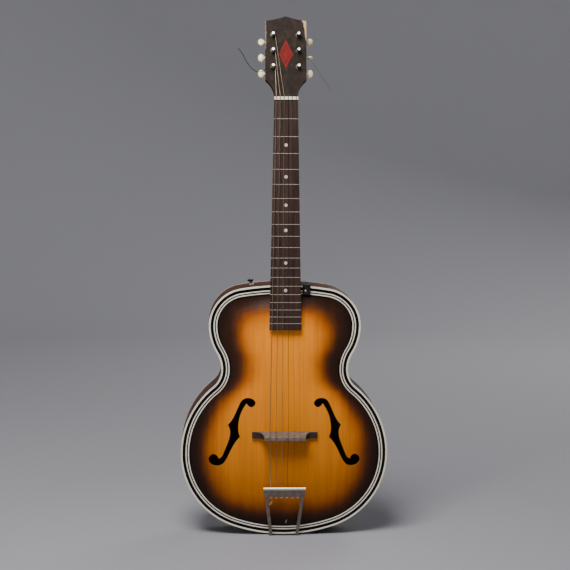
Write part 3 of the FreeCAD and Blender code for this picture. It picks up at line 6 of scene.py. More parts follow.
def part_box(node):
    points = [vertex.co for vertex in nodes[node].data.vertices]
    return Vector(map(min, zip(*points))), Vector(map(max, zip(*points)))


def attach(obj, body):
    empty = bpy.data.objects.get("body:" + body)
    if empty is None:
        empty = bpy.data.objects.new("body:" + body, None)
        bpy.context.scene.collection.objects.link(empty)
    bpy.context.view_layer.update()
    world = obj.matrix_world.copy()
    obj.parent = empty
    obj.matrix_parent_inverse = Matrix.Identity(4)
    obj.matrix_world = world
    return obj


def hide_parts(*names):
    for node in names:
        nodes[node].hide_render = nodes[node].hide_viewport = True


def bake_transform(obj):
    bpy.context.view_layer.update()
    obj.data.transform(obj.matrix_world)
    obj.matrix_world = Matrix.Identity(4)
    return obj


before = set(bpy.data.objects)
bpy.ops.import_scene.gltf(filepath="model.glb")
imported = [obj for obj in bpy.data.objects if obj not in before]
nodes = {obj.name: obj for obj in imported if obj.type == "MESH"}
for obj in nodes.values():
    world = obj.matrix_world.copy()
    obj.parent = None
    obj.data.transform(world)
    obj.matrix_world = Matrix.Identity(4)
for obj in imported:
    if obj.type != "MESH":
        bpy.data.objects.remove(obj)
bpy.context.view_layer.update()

# Arched top: two bookmatched boards of pale softwood, pressed to an arch and cut with two f-holes.
# It is sprayed amber in the middle and dark brown towards the rim, under a worn gloss lacquer.
def linear(code):
    """A colour from its sRGB hex value."""
    parts = [int(code[start:start + 2], 16) / 255 for start in (1, 3, 5)]
    return [part / 12.92 if part <= 0.04045 else ((part + 0.055) / 1.055) ** 2.4 for part in parts] + [1]


def add_node(tree, kind, inputs=None, stops=None, points=None, **settings):
    """One node of a material: its properties, its inputs as values or sockets, and its ramp or curve.

    Inputs go by name or by number: 1 to 4 are a Map Range's bounds, from and to, and 6 and 7 a Mix's colours.
    """
    node = tree.nodes.new("ShaderNode" + kind)
    for name, value in settings.items():
        setattr(node, name, value)
    for name, value in (inputs or {}).items():
        if isinstance(value, bpy.types.NodeSocket):
            tree.links.new(value, node.inputs[name])
        else:
            node.inputs[name].default_value = value
    if stops:
        elements = node.color_ramp.elements
        elements[0].position, elements[1].position = stops[0][0], stops[-1][0]
        for place, colour in stops[1:-1]:
            elements.new(place)
        for element, (place, colour) in zip(elements, stops):
            element.color = linear(colour)
    if points:
        curve = node.mapping.curves[0]
        curve.points[0].location, curve.points[1].location = points[0], points[-1]
        for point in points[1:-1]:
            curve.points.new(*point)
        node.mapping.update()
    return node.outputs


def new_finish(name, surface):
    """A material with one surface shader, whose constant sockets are set here."""
    material = bpy.data.materials.new(name)
    material.use_nodes = True
    shader = material.node_tree.nodes["Principled BSDF"]
    for socket, value in surface.items():
        shader.inputs[socket].default_value = value
    return material, material.node_tree, shader.inputs


def dress(material, *names):
    for name in names:
        slots = nodes[name].data.materials
        slots.clear()
        slots.append(material)


TAIL_RADIUS = 0.2975
CROWN_RADIUS = 0.520
OUTLINE_STEPS = 28
LEAST_GAP = 0.0005
CORNER_POWER = 4
binding_low, binding_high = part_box("top_binding")
body_length = binding_high.z - binding_low.z
half_body = binding_high.x
rim_depth = (binding_low.y + binding_high.y) / 2
outline = []
for step in range(OUTLINE_STEPS + 1):
    level = binding_low.z + body_length * step / OUTLINE_STEPS
    hit, spot = nodes["top_binding"].ray_cast(Vector((1, rim_depth, level)), Vector((-1, 0, 0)))[:2]
    outline.append((step / OUTLINE_STEPS, spot.x / half_body if hit else 0))


def rim_distance(tree, place, tail=(TAIL_RADIUS, 0.0), crown=(CROWN_RADIUS, 0.0)):
    """How far a point of the top or the back lies inside the outline, in metres.

    The tail and the crown are arcs, each given by its radius and by a length added to the distance from it.
    """
    axes = add_node(tree, "SeparateXYZ", {0: place})
    across = add_node(tree, "Math", {0: axes["X"]}, operation="ABSOLUTE")[0]
    height = add_node(tree, "Math", {0: axes["Z"], 1: binding_low.z}, operation="SUBTRACT")[0]
    share = add_node(tree, "Math", {0: height, 1: body_length}, operation="DIVIDE")[0]
    width = add_node(tree, "FloatCurve", {"Value": share}, points=outline)[0]
    half_width = add_node(tree, "Math", {0: width, 1: half_body}, operation="MULTIPLY")[0]
    square = add_node(tree, "Math", {0: across, 1: across}, operation="MULTIPLY")[0]
    to_head = add_node(tree, "Math", {0: body_length, 1: height}, operation="SUBTRACT")[0]
    gaps = [add_node(tree, "Math", {0: half_width, 1: across}, operation="SUBTRACT")[0]]
    for straight, (radius, spare) in ((height, tail), (to_head, crown)):
        longer = add_node(tree, "Math", {0: straight, 1: spare}, operation="ADD")[0]
        # an arc falls away from its middle by the square of the distance over twice its radius
        fall = {0: square, 1: -1 / (2 * radius), 2: longer}
        gaps.append(add_node(tree, "Math", fall, operation="MULTIPLY_ADD")[0])
    total = 0.0
    for gap in gaps:
        safe = add_node(tree, "Math", {0: gap, 1: LEAST_GAP}, operation="MAXIMUM")[0]
        near = add_node(tree, "Math", {0: safe, 1: -CORNER_POWER}, operation="POWER")[0]
        total = add_node(tree, "Math", {0: near, 1: total}, operation="ADD")[0]
    return add_node(tree, "Math", {0: total, 1: -1 / CORNER_POWER}, operation="POWER")[0], height


def streaks(tree, place, sizes_mm, detail=3):
    """Noise whose blots have these sizes in millimetres along x, y and z."""
    stretched = add_node(tree, "Mapping", {"Vector": place, "Scale": [1000 / size for size in sizes_mm]})[0]
    return add_node(tree, "TexNoise", {"Vector": stretched, "Scale": 1, "Detail": detail})[0]


sunburst, tree, skin = new_finish("sunburst_lacquer_on_softwood", {
    "Specular IOR Level": 0.14, "Coat Weight": 0.03, "Coat Roughness": 0.2})
place = add_node(tree, "TexCoord")
# the spray reaches further in on the upper bout and less at the crown, and its edge wanders a little
SPRAY_REACH = 0.120
SPRAY_TAIL = (0.6, 0.0)
SPRAY_CROWN = (CROWN_RADIUS, 0.010)
UPPER_BOUT = (0.30, 0.42)
UPPER_SHIFT = (-0.0015, -0.0125)
SPRAY_WANDER = 0.008
inside, height = rim_distance(tree, place["Object"], tail=SPRAY_TAIL, crown=SPRAY_CROWN)
upper = add_node(tree, "MapRange", {
    0: height, 1: UPPER_BOUT[0], 2: UPPER_BOUT[1], 3: UPPER_SHIFT[0], 4: UPPER_SHIFT[1]})[0]
clouds = streaks(tree, place["Object"], (45, 45, 60))
wander = add_node(tree, "MapRange", {0: clouds, 3: -SPRAY_WANDER, 4: SPRAY_WANDER})[0]
moved = add_node(tree, "Math", {0: inside, 1: upper}, operation="ADD")[0]
moved = add_node(tree, "Math", {0: moved, 1: wander}, operation="ADD")[0]
sprayed = add_node(tree, "Math", {0: moved, 1: SPRAY_REACH}, operation="DIVIDE")[0]
burst = add_node(tree, "ValToRGB", {0: sprayed}, stops=(
    (0.10, "#1c100b"), (0.24, "#2a170e"), (0.31, "#45230f"), (0.38, "#743a0d"), (0.44, "#9a500e"),
    (0.52, "#b9660e"), (0.62, "#cc750f"), (0.78, "#d27a10"), (1.0, "#d37b10")))[0]
# softwood grain: fine lines up the plate and broader, fainter bands
fine_grain = streaks(tree, place["Object"], (1.4, 20, 90))
broad_grain = streaks(tree, place["Object"], (11, 40, 260))
grain = add_node(tree, "Math", {0: fine_grain, 1: broad_grain}, operation="ADD")[0]
shade = add_node(tree, "MapRange", {0: grain, 1: 0.6, 2: 1.4, 3: 0.80, 4: 1.16})[0]
# painted light: the amber is drawn darker towards the tail and paler towards the neck, as if more light fell
# on the upper arch from above
PAINTED_LIGHT_HEIGHTS = (0.10, 0.40)
PAINTED_LIGHT_SHADES = (0.80, 1.72)
painted_light = add_node(tree, "MapRange", {
    0: height, 1: PAINTED_LIGHT_HEIGHTS[0], 2: PAINTED_LIGHT_HEIGHTS[1], 3: PAINTED_LIGHT_SHADES[0], 4: PAINTED_LIGHT_SHADES[1]})[0]
shade = add_node(tree, "Math", {0: shade, 1: painted_light}, operation="MULTIPLY")[0]
toned = add_node(tree, "Mix", {0: 1.0, 6: burst, 7: shade}, data_type="RGBA", blend_type="MULTIPLY")[2]
# the border between the edge strip and the pale lines is plain black
BORDER = (0.017, 0.021)
rim, height = rim_distance(tree, place["Object"])
past_border = add_node(tree, "MapRange", {0: rim, 1: BORDER[0], 2: BORDER[1]})[0]
toned = add_node(tree, "Mix", {0: past_border, 6: linear("#070505"), 7: toned}, data_type="RGBA")[2]
# bare wood shows on the cut walls of the f-holes, which face sideways
WALL_FACING = 0.35
facing = add_node(tree, "SeparateXYZ", {0: place["Normal"]})["Y"]
flatness = add_node(tree, "Math", {0: facing}, operation="ABSOLUTE")[0]
wall = add_node(tree, "Math", {0: flatness, 1: WALL_FACING}, operation="LESS_THAN")[0]
toned = add_node(tree, "Mix", {0: wall, 6: toned, 7: linear("#8a6236")}, data_type="RGBA")[2]
# two chips in the lacquer by the tailpiece, as (place, turn in degrees, half width, half length, colour)
CHIPS = (
    (Vector((-0.0258, 0, 0.0650)), 36, 0.0021, 0.0064, "#d6a97c"),
    (Vector((0.0045, 0, 0.0268)), 18, 0.0013, 0.0048, "#8d857b"),
)
CHIP_EDGE = 0.15
for spot, turn, half_wide, half_long, colour in CHIPS:
    local = add_node(tree, "Mapping", {
        "Vector": place["Object"], "Location": spot, "Rotation": Euler((0, math.radians(turn), 0)),
        "Scale": (half_wide, 1, half_long)}, vector_type="TEXTURE")[0]
    flat = add_node(tree, "VectorMath", {0: local, 1: (1, 0, 1)}, operation="MULTIPLY")[0]
    ball = add_node(tree, "TexGradient", {0: flat}, gradient_type="SPHERICAL")[1]
    chipped = add_node(tree, "Math", {0: ball, 1: CHIP_EDGE}, operation="GREATER_THAN")[0]
    toned = add_node(tree, "Mix", {0: chipped, 6: toned, 7: linear(colour)}, data_type="RGBA")[2]
tree.links.new(toned, skin["Base Color"])
smudge = add_node(tree, "MapRange", {0: streaks(tree, place["Object"], (30, 30, 40)), 3: 0.26, 4: 0.44})[0]
tree.links.new(smudge, skin["Roughness"])
relief = add_node(tree, "Bump", {"Strength": 0.12, "Distance": 0.0003, "Height": fine_grain})[0]
tree.links.new(relief, skin["Normal"])
dress(sunburst, "top_plate")

# Back and sides: thin hardwood, bent or pressed and stained brown. The back is glossy and darker towards
# the rim, and the sides are dulled. The inside is left bare: blocks, linings and bars of pale softwood.
BROAD_GRAIN = 8


def grained_wood(name, dark, light, grain_mm, surface):
    """A stained wood whose grain lines have these sizes in millimetres along x, y and z."""
    material, tree, skin = new_finish(name, surface)
    place = add_node(tree, "TexCoord")
    fine = streaks(tree, place["Object"], grain_mm, 4)
    broad = streaks(tree, place["Object"], [BROAD_GRAIN * size for size in grain_mm], 2)
    both = add_node(tree, "Math", {0: fine, 1: broad}, operation="ADD")[0]
    share = add_node(tree, "MapRange", {0: both, 1: 0.65, 2: 1.35})[0]
    colour = add_node(tree, "ValToRGB", {0: share}, stops=((0.0, dark), (1.0, light)))[0]
    relief = add_node(tree, "Bump", {"Strength": 0.15, "Distance": 0.0003, "Height": fine})[0]
    tree.links.new(relief, skin["Normal"])
    tree.links.new(colour, skin["Base Color"])
    return material, tree, skin, place, colour


sides = grained_wood("brown_stained_hardwood_sides", "#2a160c", "#522d17", (90, 2.2, 90), {
    "Roughness": 0.45, "Specular IOR Level": 0.12})[0]
dress(sides, "bass_side", "treble_side")
back, tree, skin, place, colour = grained_wood(
    "brown_stained_hardwood_back", "#5a2f15", "#8a5022", (2.4, 60, 120), {
        "Roughness": 0.3, "Specular IOR Level": 0.4, "Coat Weight": 0.3, "Coat Roughness": 0.2})
inside, height = rim_distance(tree, place["Object"])
sprayed = add_node(tree, "Math", {0: inside, 1: SPRAY_REACH}, operation="DIVIDE")[0]
veil = add_node(tree, "ValToRGB", {0: sprayed}, stops=(
    (0.08, "#3a2015"), (0.3, "#4a2a1b"), (0.6, "#b08a70"), (1.0, "#ffffff")))[0]
shaded = add_node(tree, "Mix", {0: 1.0, 6: colour, 7: veil}, data_type="RGBA", blend_type="MULTIPLY")[2]
tree.links.new(shaded, skin["Base Color"])
dress(back, "back_plate")
bare = grained_wood("bare_softwood_inside", "#8d6a42", "#c39c68", (2, 2, 70), {"Roughness": 0.7})[0]
dress(bare, "neck_block", "tail_block", "linings", "tone_bars")

# Edge trim: strips of cream celluloid glued round the rim, front and back, and two pale lines let
# into the top. Age has yellowed them unevenly.
def celluloid(name, pale, yellowed, surface):
    material, tree, skin = new_finish(name, surface)
    place = add_node(tree, "TexCoord")["Object"]
    share = add_node(tree, "MapRange", {0: streaks(tree, place, (24, 24, 24)), 1: 0.35, 2: 0.7})[0]
    colour = add_node(tree, "ValToRGB", {0: share}, stops=((0.0, pale), (1.0, yellowed)))[0]
    tree.links.new(colour, skin["Base Color"])
    rough = add_node(tree, "MapRange", {0: streaks(tree, place, (6, 6, 6)), 3: 0.3, 4: 0.5})[0]
    tree.links.new(rough, skin["Roughness"])
    return material, tree, skin, place, colour


binding = celluloid("cream_celluloid_binding", "#f5ecd9", "#e8dabe", {"Coat Weight": 0.2})[0]
dress(binding, "top_binding", "back_binding")
dress(celluloid("pale_inlay_lines", "#f2eadb", "#e4d8c0", {"Coat Weight": 0.2})[0], "top_purfling")

# Neck: one piece of hardwood from the heel to the headstock, stained dark brown, with a steel bar let in.
# The headstock's face is painted brown-black; the paint is knocked off along its upper edges.
HEAD_ORIGIN = Vector((0, -0.03394416, 0.85202646))
HEAD_TILT = math.radians(15.5)
head_turn = Euler((math.pi / 2 - HEAD_TILT, 0, 0))
neck_wood, tree, skin, place, colour = grained_wood(
    "dark_stained_neck", "#1f120b", "#3d2314", (2.5, 2.5, 80),
    {"Roughness": 0.65, "Specular IOR Level": 0.1})
local = add_node(tree, "Mapping", {
    "Vector": place["Object"], "Location": HEAD_ORIGIN, "Rotation": head_turn}, vector_type="TEXTURE")[0]
head = add_node(tree, "SeparateXYZ", {0: local})
PAINT_DEPTH = -0.0004
on_face = add_node(tree, "Math", {0: head["Z"], 1: PAINT_DEPTH}, operation="GREATER_THAN")[0]
above_nut = add_node(tree, "Math", {0: head["Y"], 1: 0.0}, operation="GREATER_THAN")[0]
painted = add_node(tree, "Math", {0: on_face, 1: above_nut}, operation="MULTIPLY")[0]
scuff = streaks(tree, place["Object"], (9, 9, 12), 5)
paint = add_node(tree, "ValToRGB", {0: scuff}, stops=(
    (0.3, "#1f1713"), (0.55, "#2b211b"), (0.75, "#372b22")))[0]
toned = add_node(tree, "Mix", {0: painted, 6: colour, 7: paint}, data_type="RGBA")[2]
# bare edges, as (side, half width still painted at the lowest and the highest place, those places, colour)
WORN_DEPTH = -0.005
WORN_RAGGED = 0.004
near_face = add_node(tree, "Math", {0: head["Z"], 1: WORN_DEPTH}, operation="GREATER_THAN")[0]
flakes = streaks(tree, place["Object"], (5, 5, 7), 4)
ragged = add_node(tree, "MapRange", {0: flakes, 3: -WORN_RAGGED, 4: WORN_RAGGED})[0]
WORN_EDGES = (
    (1, 0.0410, 0.0325, 0.100, 0.152, "#b79a6d"),
    (-1, 0.0384, 0.0380, 0.092, 0.152, "#8a765c"),
)
for side, low_half, high_half, low, high, bare_colour in WORN_EDGES:
    painted_half = add_node(tree, "MapRange", {0: head["Y"], 1: low, 2: high, 3: low_half, 4: high_half})[0]
    outward = add_node(tree, "Math", {0: head["X"], 1: side, 2: ragged}, operation="MULTIPLY_ADD")[0]
    past = add_node(tree, "Math", {0: outward, 1: painted_half}, operation="GREATER_THAN")[0]
    over = add_node(tree, "Math", {0: head["Y"], 1: low}, operation="GREATER_THAN")[0]
    under = add_node(tree, "Math", {0: head["Y"], 1: high}, operation="LESS_THAN")[0]
    span = add_node(tree, "Math", {0: over, 1: under}, operation="MULTIPLY")[0]
    worn = add_node(tree, "Math", {0: span, 1: past}, operation="MULTIPLY")[0]
    worn = add_node(tree, "Math", {0: worn, 1: near_face}, operation="MULTIPLY")[0]
    toned = add_node(tree, "Mix", {0: worn, 6: toned, 7: linear(bare_colour)}, data_type="RGBA")[2]
tree.links.new(toned, skin["Base Color"])
dress(neck_wood, "neck")

# Ornament of the headstock: a tall lozenge of dull red enamel with a dark line round its middle.
# It is plain geometry with no motif of its own, laid on the paint between the tuner posts.
LOZENGE_HALF_WIDTH = 0.0135
LOZENGE_HALF_HEIGHT = 0.0285
LOZENGE_MIDDLE = 0.0845
LOZENGE_BANDS = (0.0045, 0.0007)
ENAMEL_THICKNESS = 0.0002


def on_headstock(x, y, z):
    return HEAD_ORIGIN + head_turn.to_matrix() @ Vector((x, y, z))


bpy.ops.object.select_all(action="DESELECT")
bpy.ops.mesh.primitive_circle_add(vertices=4, radius=1, fill_type="NGON")
lozenge = bpy.context.object
lozenge.name = "headstock_lozenge"
lozenge.data.transform(Matrix.Diagonal((LOZENGE_HALF_WIDTH, LOZENGE_HALF_HEIGHT, 1, 1)))
bpy.ops.object.mode_set(mode="EDIT")
bpy.ops.mesh.select_mode(type="FACE")
for band in LOZENGE_BANDS:
    bpy.ops.mesh.inset(thickness=band)
bpy.ops.mesh.select_all(action="DESELECT")
bpy.ops.object.mode_set(mode="OBJECT")
# the four thin faces between the bands are taken out, and the paint below shows as the dark line
by_size = sorted(lozenge.data.polygons, key=lambda face: face.area)
for face in by_size[:4]:
    face.select = True
bpy.ops.object.mode_set(mode="EDIT")
bpy.ops.mesh.delete(type="FACE")
bpy.ops.object.mode_set(mode="OBJECT")
layer = lozenge.modifiers.new("enamel", "SOLIDIFY")
layer.thickness = ENAMEL_THICKNESS
layer.offset = 1
bpy.ops.object.modifier_apply(modifier=layer.name)
lozenge.data.transform(head_turn.to_matrix().to_4x4())
lozenge.data.transform(Matrix.Translation(on_headstock(0, LOZENGE_MIDDLE, 0)))
enamel, tree, skin = new_finish("dull_red_enamel", {"Roughness": 0.6, "Specular IOR Level": 0.08})
place = add_node(tree, "TexCoord")["Object"]
colour = add_node(tree, "ValToRGB", {0: streaks(tree, place, (3, 3, 3), 5)}, stops=(
    (0.3, "#611513"), (0.6, "#7a201c"), (0.8, "#541210")))[0]
tree.links.new(colour, skin["Base Color"])
lozenge.data.materials.append(enamel)
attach(lozenge, "guitar")

# Fingerboard: dark open-grained hardwood with round nickel-silver frets hammered into sawn slots.
# The dots are pale pearl plastic.
board = grained_wood("dark_fingerboard", "#20120f", "#463029", (1.6, 2, 45), {
    "Roughness": 0.55, "Specular IOR Level": 0.25})[0]
dress(board, "fingerboard")
fret_metal, tree, skin = new_finish("worn_nickel_silver", {"Metallic": 0.4, "Roughness": 0.4})
place = add_node(tree, "TexCoord")["Object"]
colour = add_node(tree, "ValToRGB", {0: streaks(tree, place, (3, 3, 3))}, stops=(
    (0.35, "#ddd3c3"), (0.65, "#f8f1e4")))[0]
tree.links.new(colour, skin["Base Color"])
dress(fret_metal, "frets")
dress(celluloid("pale_pearl_dots", "#d5cfc2", "#a89f8e", {"Coat Weight": 0.3})[0], "position_dots")

# Nut and bridge: a notched strip of bone-coloured plastic at the head of the board, and a one-piece
# bridge of dark wood that stands loose on the top, with painted light in greyish brown on its upward faces
# and along its crown.
NUT_SPACING = 0.0076
SLOT_HALF_WIDTH = 0.0008
bone, tree, skin, place, colour = celluloid("bone_coloured_nut", "#f0e6d2", "#dccba9", {"Coat Weight": 0.1})
# painted shade: dark bands at the six string slots, running the whole height of the nut
across = add_node(tree, "SeparateXYZ", {0: place})["X"]
shifted = add_node(tree, "Math", {0: across, 1: NUT_SPACING / 2}, operation="SUBTRACT")[0]
to_slot = add_node(tree, "Math", {0: shifted, 1: NUT_SPACING / 2}, operation="PINGPONG")[0]
painted_slot_shade = add_node(tree, "Math", {0: to_slot, 1: SLOT_HALF_WIDTH}, operation="LESS_THAN")[0]
toned = add_node(tree, "Mix", {0: painted_slot_shade, 6: colour, 7: linear("#5a4a3a")}, data_type="RGBA")[2]
tree.links.new(toned, skin["Base Color"])
dress(bone, "nut")
bridge_low, bridge_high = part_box("bridge")
bridge_wood, tree, skin, place, colour = grained_wood(
    "dark_bridge_with_painted_light", "#1b110d", "#3a261c", (30, 2, 2), {"Roughness": 0.5})
CROWN_DEPTH = 0.003
upward = add_node(tree, "SeparateXYZ", {0: place["Normal"]})["Z"]
depth = add_node(tree, "SeparateXYZ", {0: place["Object"]})["Y"]
# painted light: the faces that turn upwards and the front strip along the crown are painted greyish brown,
# standing in for light from above
slope = add_node(tree, "MapRange", {0: upward, 1: 0.3, 2: 0.7})[0]
crown = add_node(tree, "MapRange", {
    0: depth, 1: bridge_low.y + 1.5 * CROWN_DEPTH, 2: bridge_low.y + CROWN_DEPTH})[0]
painted_highlight = add_node(tree, "Math", {0: slope, 1: crown}, operation="MAXIMUM")[0]
pale = add_node(tree, "ValToRGB", {0: streaks(tree, place["Object"], (7, 4, 4), 5)}, stops=(
    (0.3, "#574a41"), (0.7, "#7d6e63")))[0]
toned = add_node(tree, "Mix", {0: painted_highlight, 6: colour, 7: pale}, data_type="RGBA")[2]
tree.links.new(toned, skin["Base Color"])
dress(bridge_wood, "bridge")

# Strings: the three thin ones are plain steel wire, the three thick ones are wound with bronze.
# Each runs from its ball behind the tailpiece over the bridge and the nut to a winding on its post.
WINDING_PITCH = 0.0008
BALL_SIZE = 0.0045
string_low, string_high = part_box("string_1")
ball_top = string_low.z + BALL_SIZE


def wire_metal(name, dark, light, rough):
    """Tarnished wire whose ball, at the lowest end, is still bright."""
    material, tree, skin = new_finish(name, {"Metallic": 1.0, "Roughness": rough})
    place = add_node(tree, "TexCoord")["Object"]
    tarnish = streaks(tree, place, (8, 8, 40))
    colour = add_node(tree, "ValToRGB", {0: tarnish}, stops=((0.3, dark), (0.7, light)))[0]
    level = add_node(tree, "SeparateXYZ", {0: place})["Z"]
    on_ball = add_node(tree, "Math", {0: level, 1: ball_top}, operation="LESS_THAN")[0]
    toned = add_node(tree, "Mix", {0: on_ball, 6: colour, 7: linear("#d9c9ab")}, data_type="RGBA")[2]
    tree.links.new(toned, skin["Base Color"])
    return material, tree, skin, place


bronze, tree, skin, place = wire_metal("bronze_wound_string", "#7e6e59", "#a9967c", 0.42)
# the real winding is finer than a render shows, so its turns are drawn at twice their width
turns = add_node(tree, "TexWave", {"Vector": place, "Scale": 1 / (WINDING_PITCH * 2 * math.pi)},
                 bands_direction="Z")[1]
relief = add_node(tree, "Bump", {"Strength": 0.4, "Distance": 0.0002, "Height": turns})[0]
tree.links.new(relief, skin["Normal"])
steel_wire = wire_metal("plain_steel_string", "#211d1a", "#3d3731", 0.38)[0]

STRING_NUMBERS = range(1, 7)
WOUND_STRINGS = (4, 5, 6)
BRIDGE_RUN = 0.010
NECK_RUN = 0.300
PAST_ENDS = 1.0
WELD = 1e-6
SMOOTH_ANGLE = math.radians(40)
tail_low, tail_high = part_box("tailpiece_string_bar")
bridge_middle = (bridge_low.z + bridge_high.z) / 2
run_below = bridge_low.z - BRIDGE_RUN
run_above = bridge_high.z + NECK_RUN
# each string is cut in three, just below the bridge and at its middle; the spans are given
# as (name, lowest and highest place, body it follows, where that begins and where it is complete)
SPANS = (
    ("tail_span", string_low.z - PAST_ENDS, run_below, "tailpiece", run_below, tail_high.z),
    ("bridge_span", run_below, bridge_middle, "bridge", run_below, bridge_low.z),
    ("neck_span", bridge_middle, string_high.z + PAST_ENDS, "bridge", run_above, bridge_high.z),
)
for number in STRING_NUMBERS:
    wound = number in WOUND_STRINGS
    for span, low, high, body, free, held in SPANS:
        bpy.ops.object.select_all(action="DESELECT")
        string = bpy.data.objects.new(f"string_{number}_{span}", nodes[f"string_{number}"].data.copy())
        bpy.context.scene.collection.objects.link(string)
        bpy.context.view_layer.objects.active = string
        string.select_set(True)
        bpy.ops.object.mode_set(mode="EDIT")
        bpy.ops.mesh.select_all(action="SELECT")
        bpy.ops.mesh.remove_doubles(threshold=WELD)
        bpy.ops.mesh.select_all(action="SELECT")
        bpy.ops.mesh.bisect(plane_co=(0, 0, low), plane_no=(0, 0, 1), clear_inner=True, use_fill=True)
        bpy.ops.mesh.select_all(action="SELECT")
        bpy.ops.mesh.bisect(plane_co=(0, 0, high), plane_no=(0, 0, 1), clear_outer=True, use_fill=True)
        bpy.ops.object.mode_set(mode="OBJECT")
        bpy.ops.object.shade_smooth_by_angle(angle=SMOOTH_ANGLE)
        string.data.materials.clear()
        string.data.materials.append(bronze if wound else steel_wire)
        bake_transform(string)
        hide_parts(f"string_{number}")

# Loose ends: the uncut ends of the lowest string and of the second string stand out from their posts,
# as stiff wire that was never trimmed, both drawn dark in the plain steel string's finish. The points follow
# each wire on the headstock, in millimetres across, up and out from the middle of the headstock's foot.
WIRE_STEPS = 12
LOOSE_ENDS = {
    "loose_string_end_bass": (0.00137, 0.0904, "bronze_string", (
        (-27.7, 59, 9.55), (-32.5, 57.4, 9.3), (-38.5, 52.2, 7), (-45.5, 48, 3.5), (-54, 48.2, 1),
        (-61.5, 51.6, 1), (-67.3, 57, 2), (-72.8, 64, 3), (-78, 71.4, 4.5), (-81.2, 79, 6),
        (-85.3, 86, 7.2), (-91.5, 92.5, 8))),
    "loose_string_end_treble": (0.00041, 0.1423, "plain_string", (
        (21.3, 90.6, 9), (16.5, 91.6, 9.2), (11, 94.6, 10.2), (8, 99.5, 12.4), (11.5, 103.2, 15.2),
        (18.5, 102.6, 17), (26, 97.6, 16.6), (33, 89, 14.4), (40.5, 77.6, 11.4), (53, 61, 9),
        (69.5, 37, 5.6), (85, 13.2, 1.4))),
}
for name, (diameter, length, slot, route) in LOOSE_ENDS.items():
    points = [on_headstock(*(value / 1000 for value in point)) for point in route]
    wire = bpy.data.curves.new(name.replace("loose", "uncut"), "CURVE")
    wire.dimensions = "3D"
    spline = wire.splines.new("NURBS")
    spline.points.add(len(points) - 1)
    for control, point in zip(spline.points, points):
        control.co = (*point, 1)
    spline.order_u = 3
    spline.use_endpoint_u = True
    spline.resolution_u = WIRE_STEPS
    wire.bevel_depth = diameter / 2
    wire.bevel_resolution = 3
    wire.use_fill_caps = True
    wire.materials.append(steel_wire)
    loose_end = bpy.data.objects.new(wire.name, wire)
    bpy.context.scene.collection.objects.link(loose_end)
    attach(loose_end, "guitar")
    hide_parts(name)

# Tailpiece: a pressed nickel-plated bar with a rolled lip on two flat legs, hinged on two short pins at a
# bracket that is screwed under the tail. The plating has dulled to a warm grey with darker blotches.
def plated(name, bright, dull, rough):
    material, tree, skin = new_finish(name, {"Metallic": 1.0})
    place = add_node(tree, "TexCoord")["Object"]
    blot = streaks(tree, place, (7, 7, 10), 6)
    colour = add_node(tree, "ValToRGB", {0: blot}, stops=((0.32, dull), (0.62, bright)))[0]
    tree.links.new(colour, skin["Base Color"])
    scratches = streaks(tree, place, (0.8, 3, 6))
    scratched = add_node(tree, "MapRange", {0: scratches, 3: rough - 0.08, 4: rough + 0.12})[0]
    tree.links.new(scratched, skin["Roughness"])
    return material, tree, skin, place, colour


dull_nickel, tree, skin, place, colour = plated("dulled_nickel_plate", "#8f847b", "#786d64", 0.42)
# painted highlight: the top of the rolled lip is painted near white, where it would catch the light from
# above
LIP_HEIGHT = 0.0065
level = add_node(tree, "SeparateXYZ", {0: place})["Z"]
painted_lip_highlight = add_node(tree, "Math", {0: level, 1: tail_high.z - LIP_HEIGHT}, operation="GREATER_THAN")[0]
toned = add_node(tree, "Mix", {0: painted_lip_highlight, 6: colour, 7: linear("#efe6da")}, data_type="RGBA")[2]
tree.links.new(toned, skin["Base Color"])
dress(dull_nickel, "tailpiece_string_bar", "tailpiece_legs")
dress(plated("blackened_steel_pins", "#2c2825", "#191614", 0.5)[0], "tailpiece_hinge_pins")
# the bracket's two lugs match the legs, and its flat part under the tail is near black: blackened steel, and
# painted shade between the legs
BRACKET_PLATE = 0.0018
bracket_metal, tree, skin, place, colour = plated("nickel_lugs_on_dark_bracket", "#8f847b", "#786d64", 0.42)
level = add_node(tree, "SeparateXYZ", {0: place})["Z"]
blackened_plate_and_shade = add_node(tree, "Math", {0: level, 1: BRACKET_PLATE}, operation="LESS_THAN")[0]
toned = add_node(tree, "Mix", {0: blackened_plate_and_shade, 6: colour, 7: linear("#1d1a17")}, data_type="RGBA")[2]
tree.links.new(toned, skin["Base Color"])
dress(bracket_metal, "tailpiece_bracket")
steel = plated("plain_steel", "#a8a6a2", "#77746f", 0.32)[0]
dress(steel, "neck_steel_bar")

# Tuners: nickel-plated strips screwed to the back of the headstock, each with three worms in folded ears,
# three brass gears on posts, and ivory-coloured moulded buttons pressed on the worm shafts.
bright_nickel = plated("nickel_plated_tuners", "#c9c4ba", "#8d877d", 0.28)[0]
dress(bright_nickel, "tuner_plate_bass", "tuner_plate_treble")
tarnished = plated("tarnished_bushings", "#5b544a", "#38332c", 0.45)[0]
dress(tarnished, "tuner_bushings")
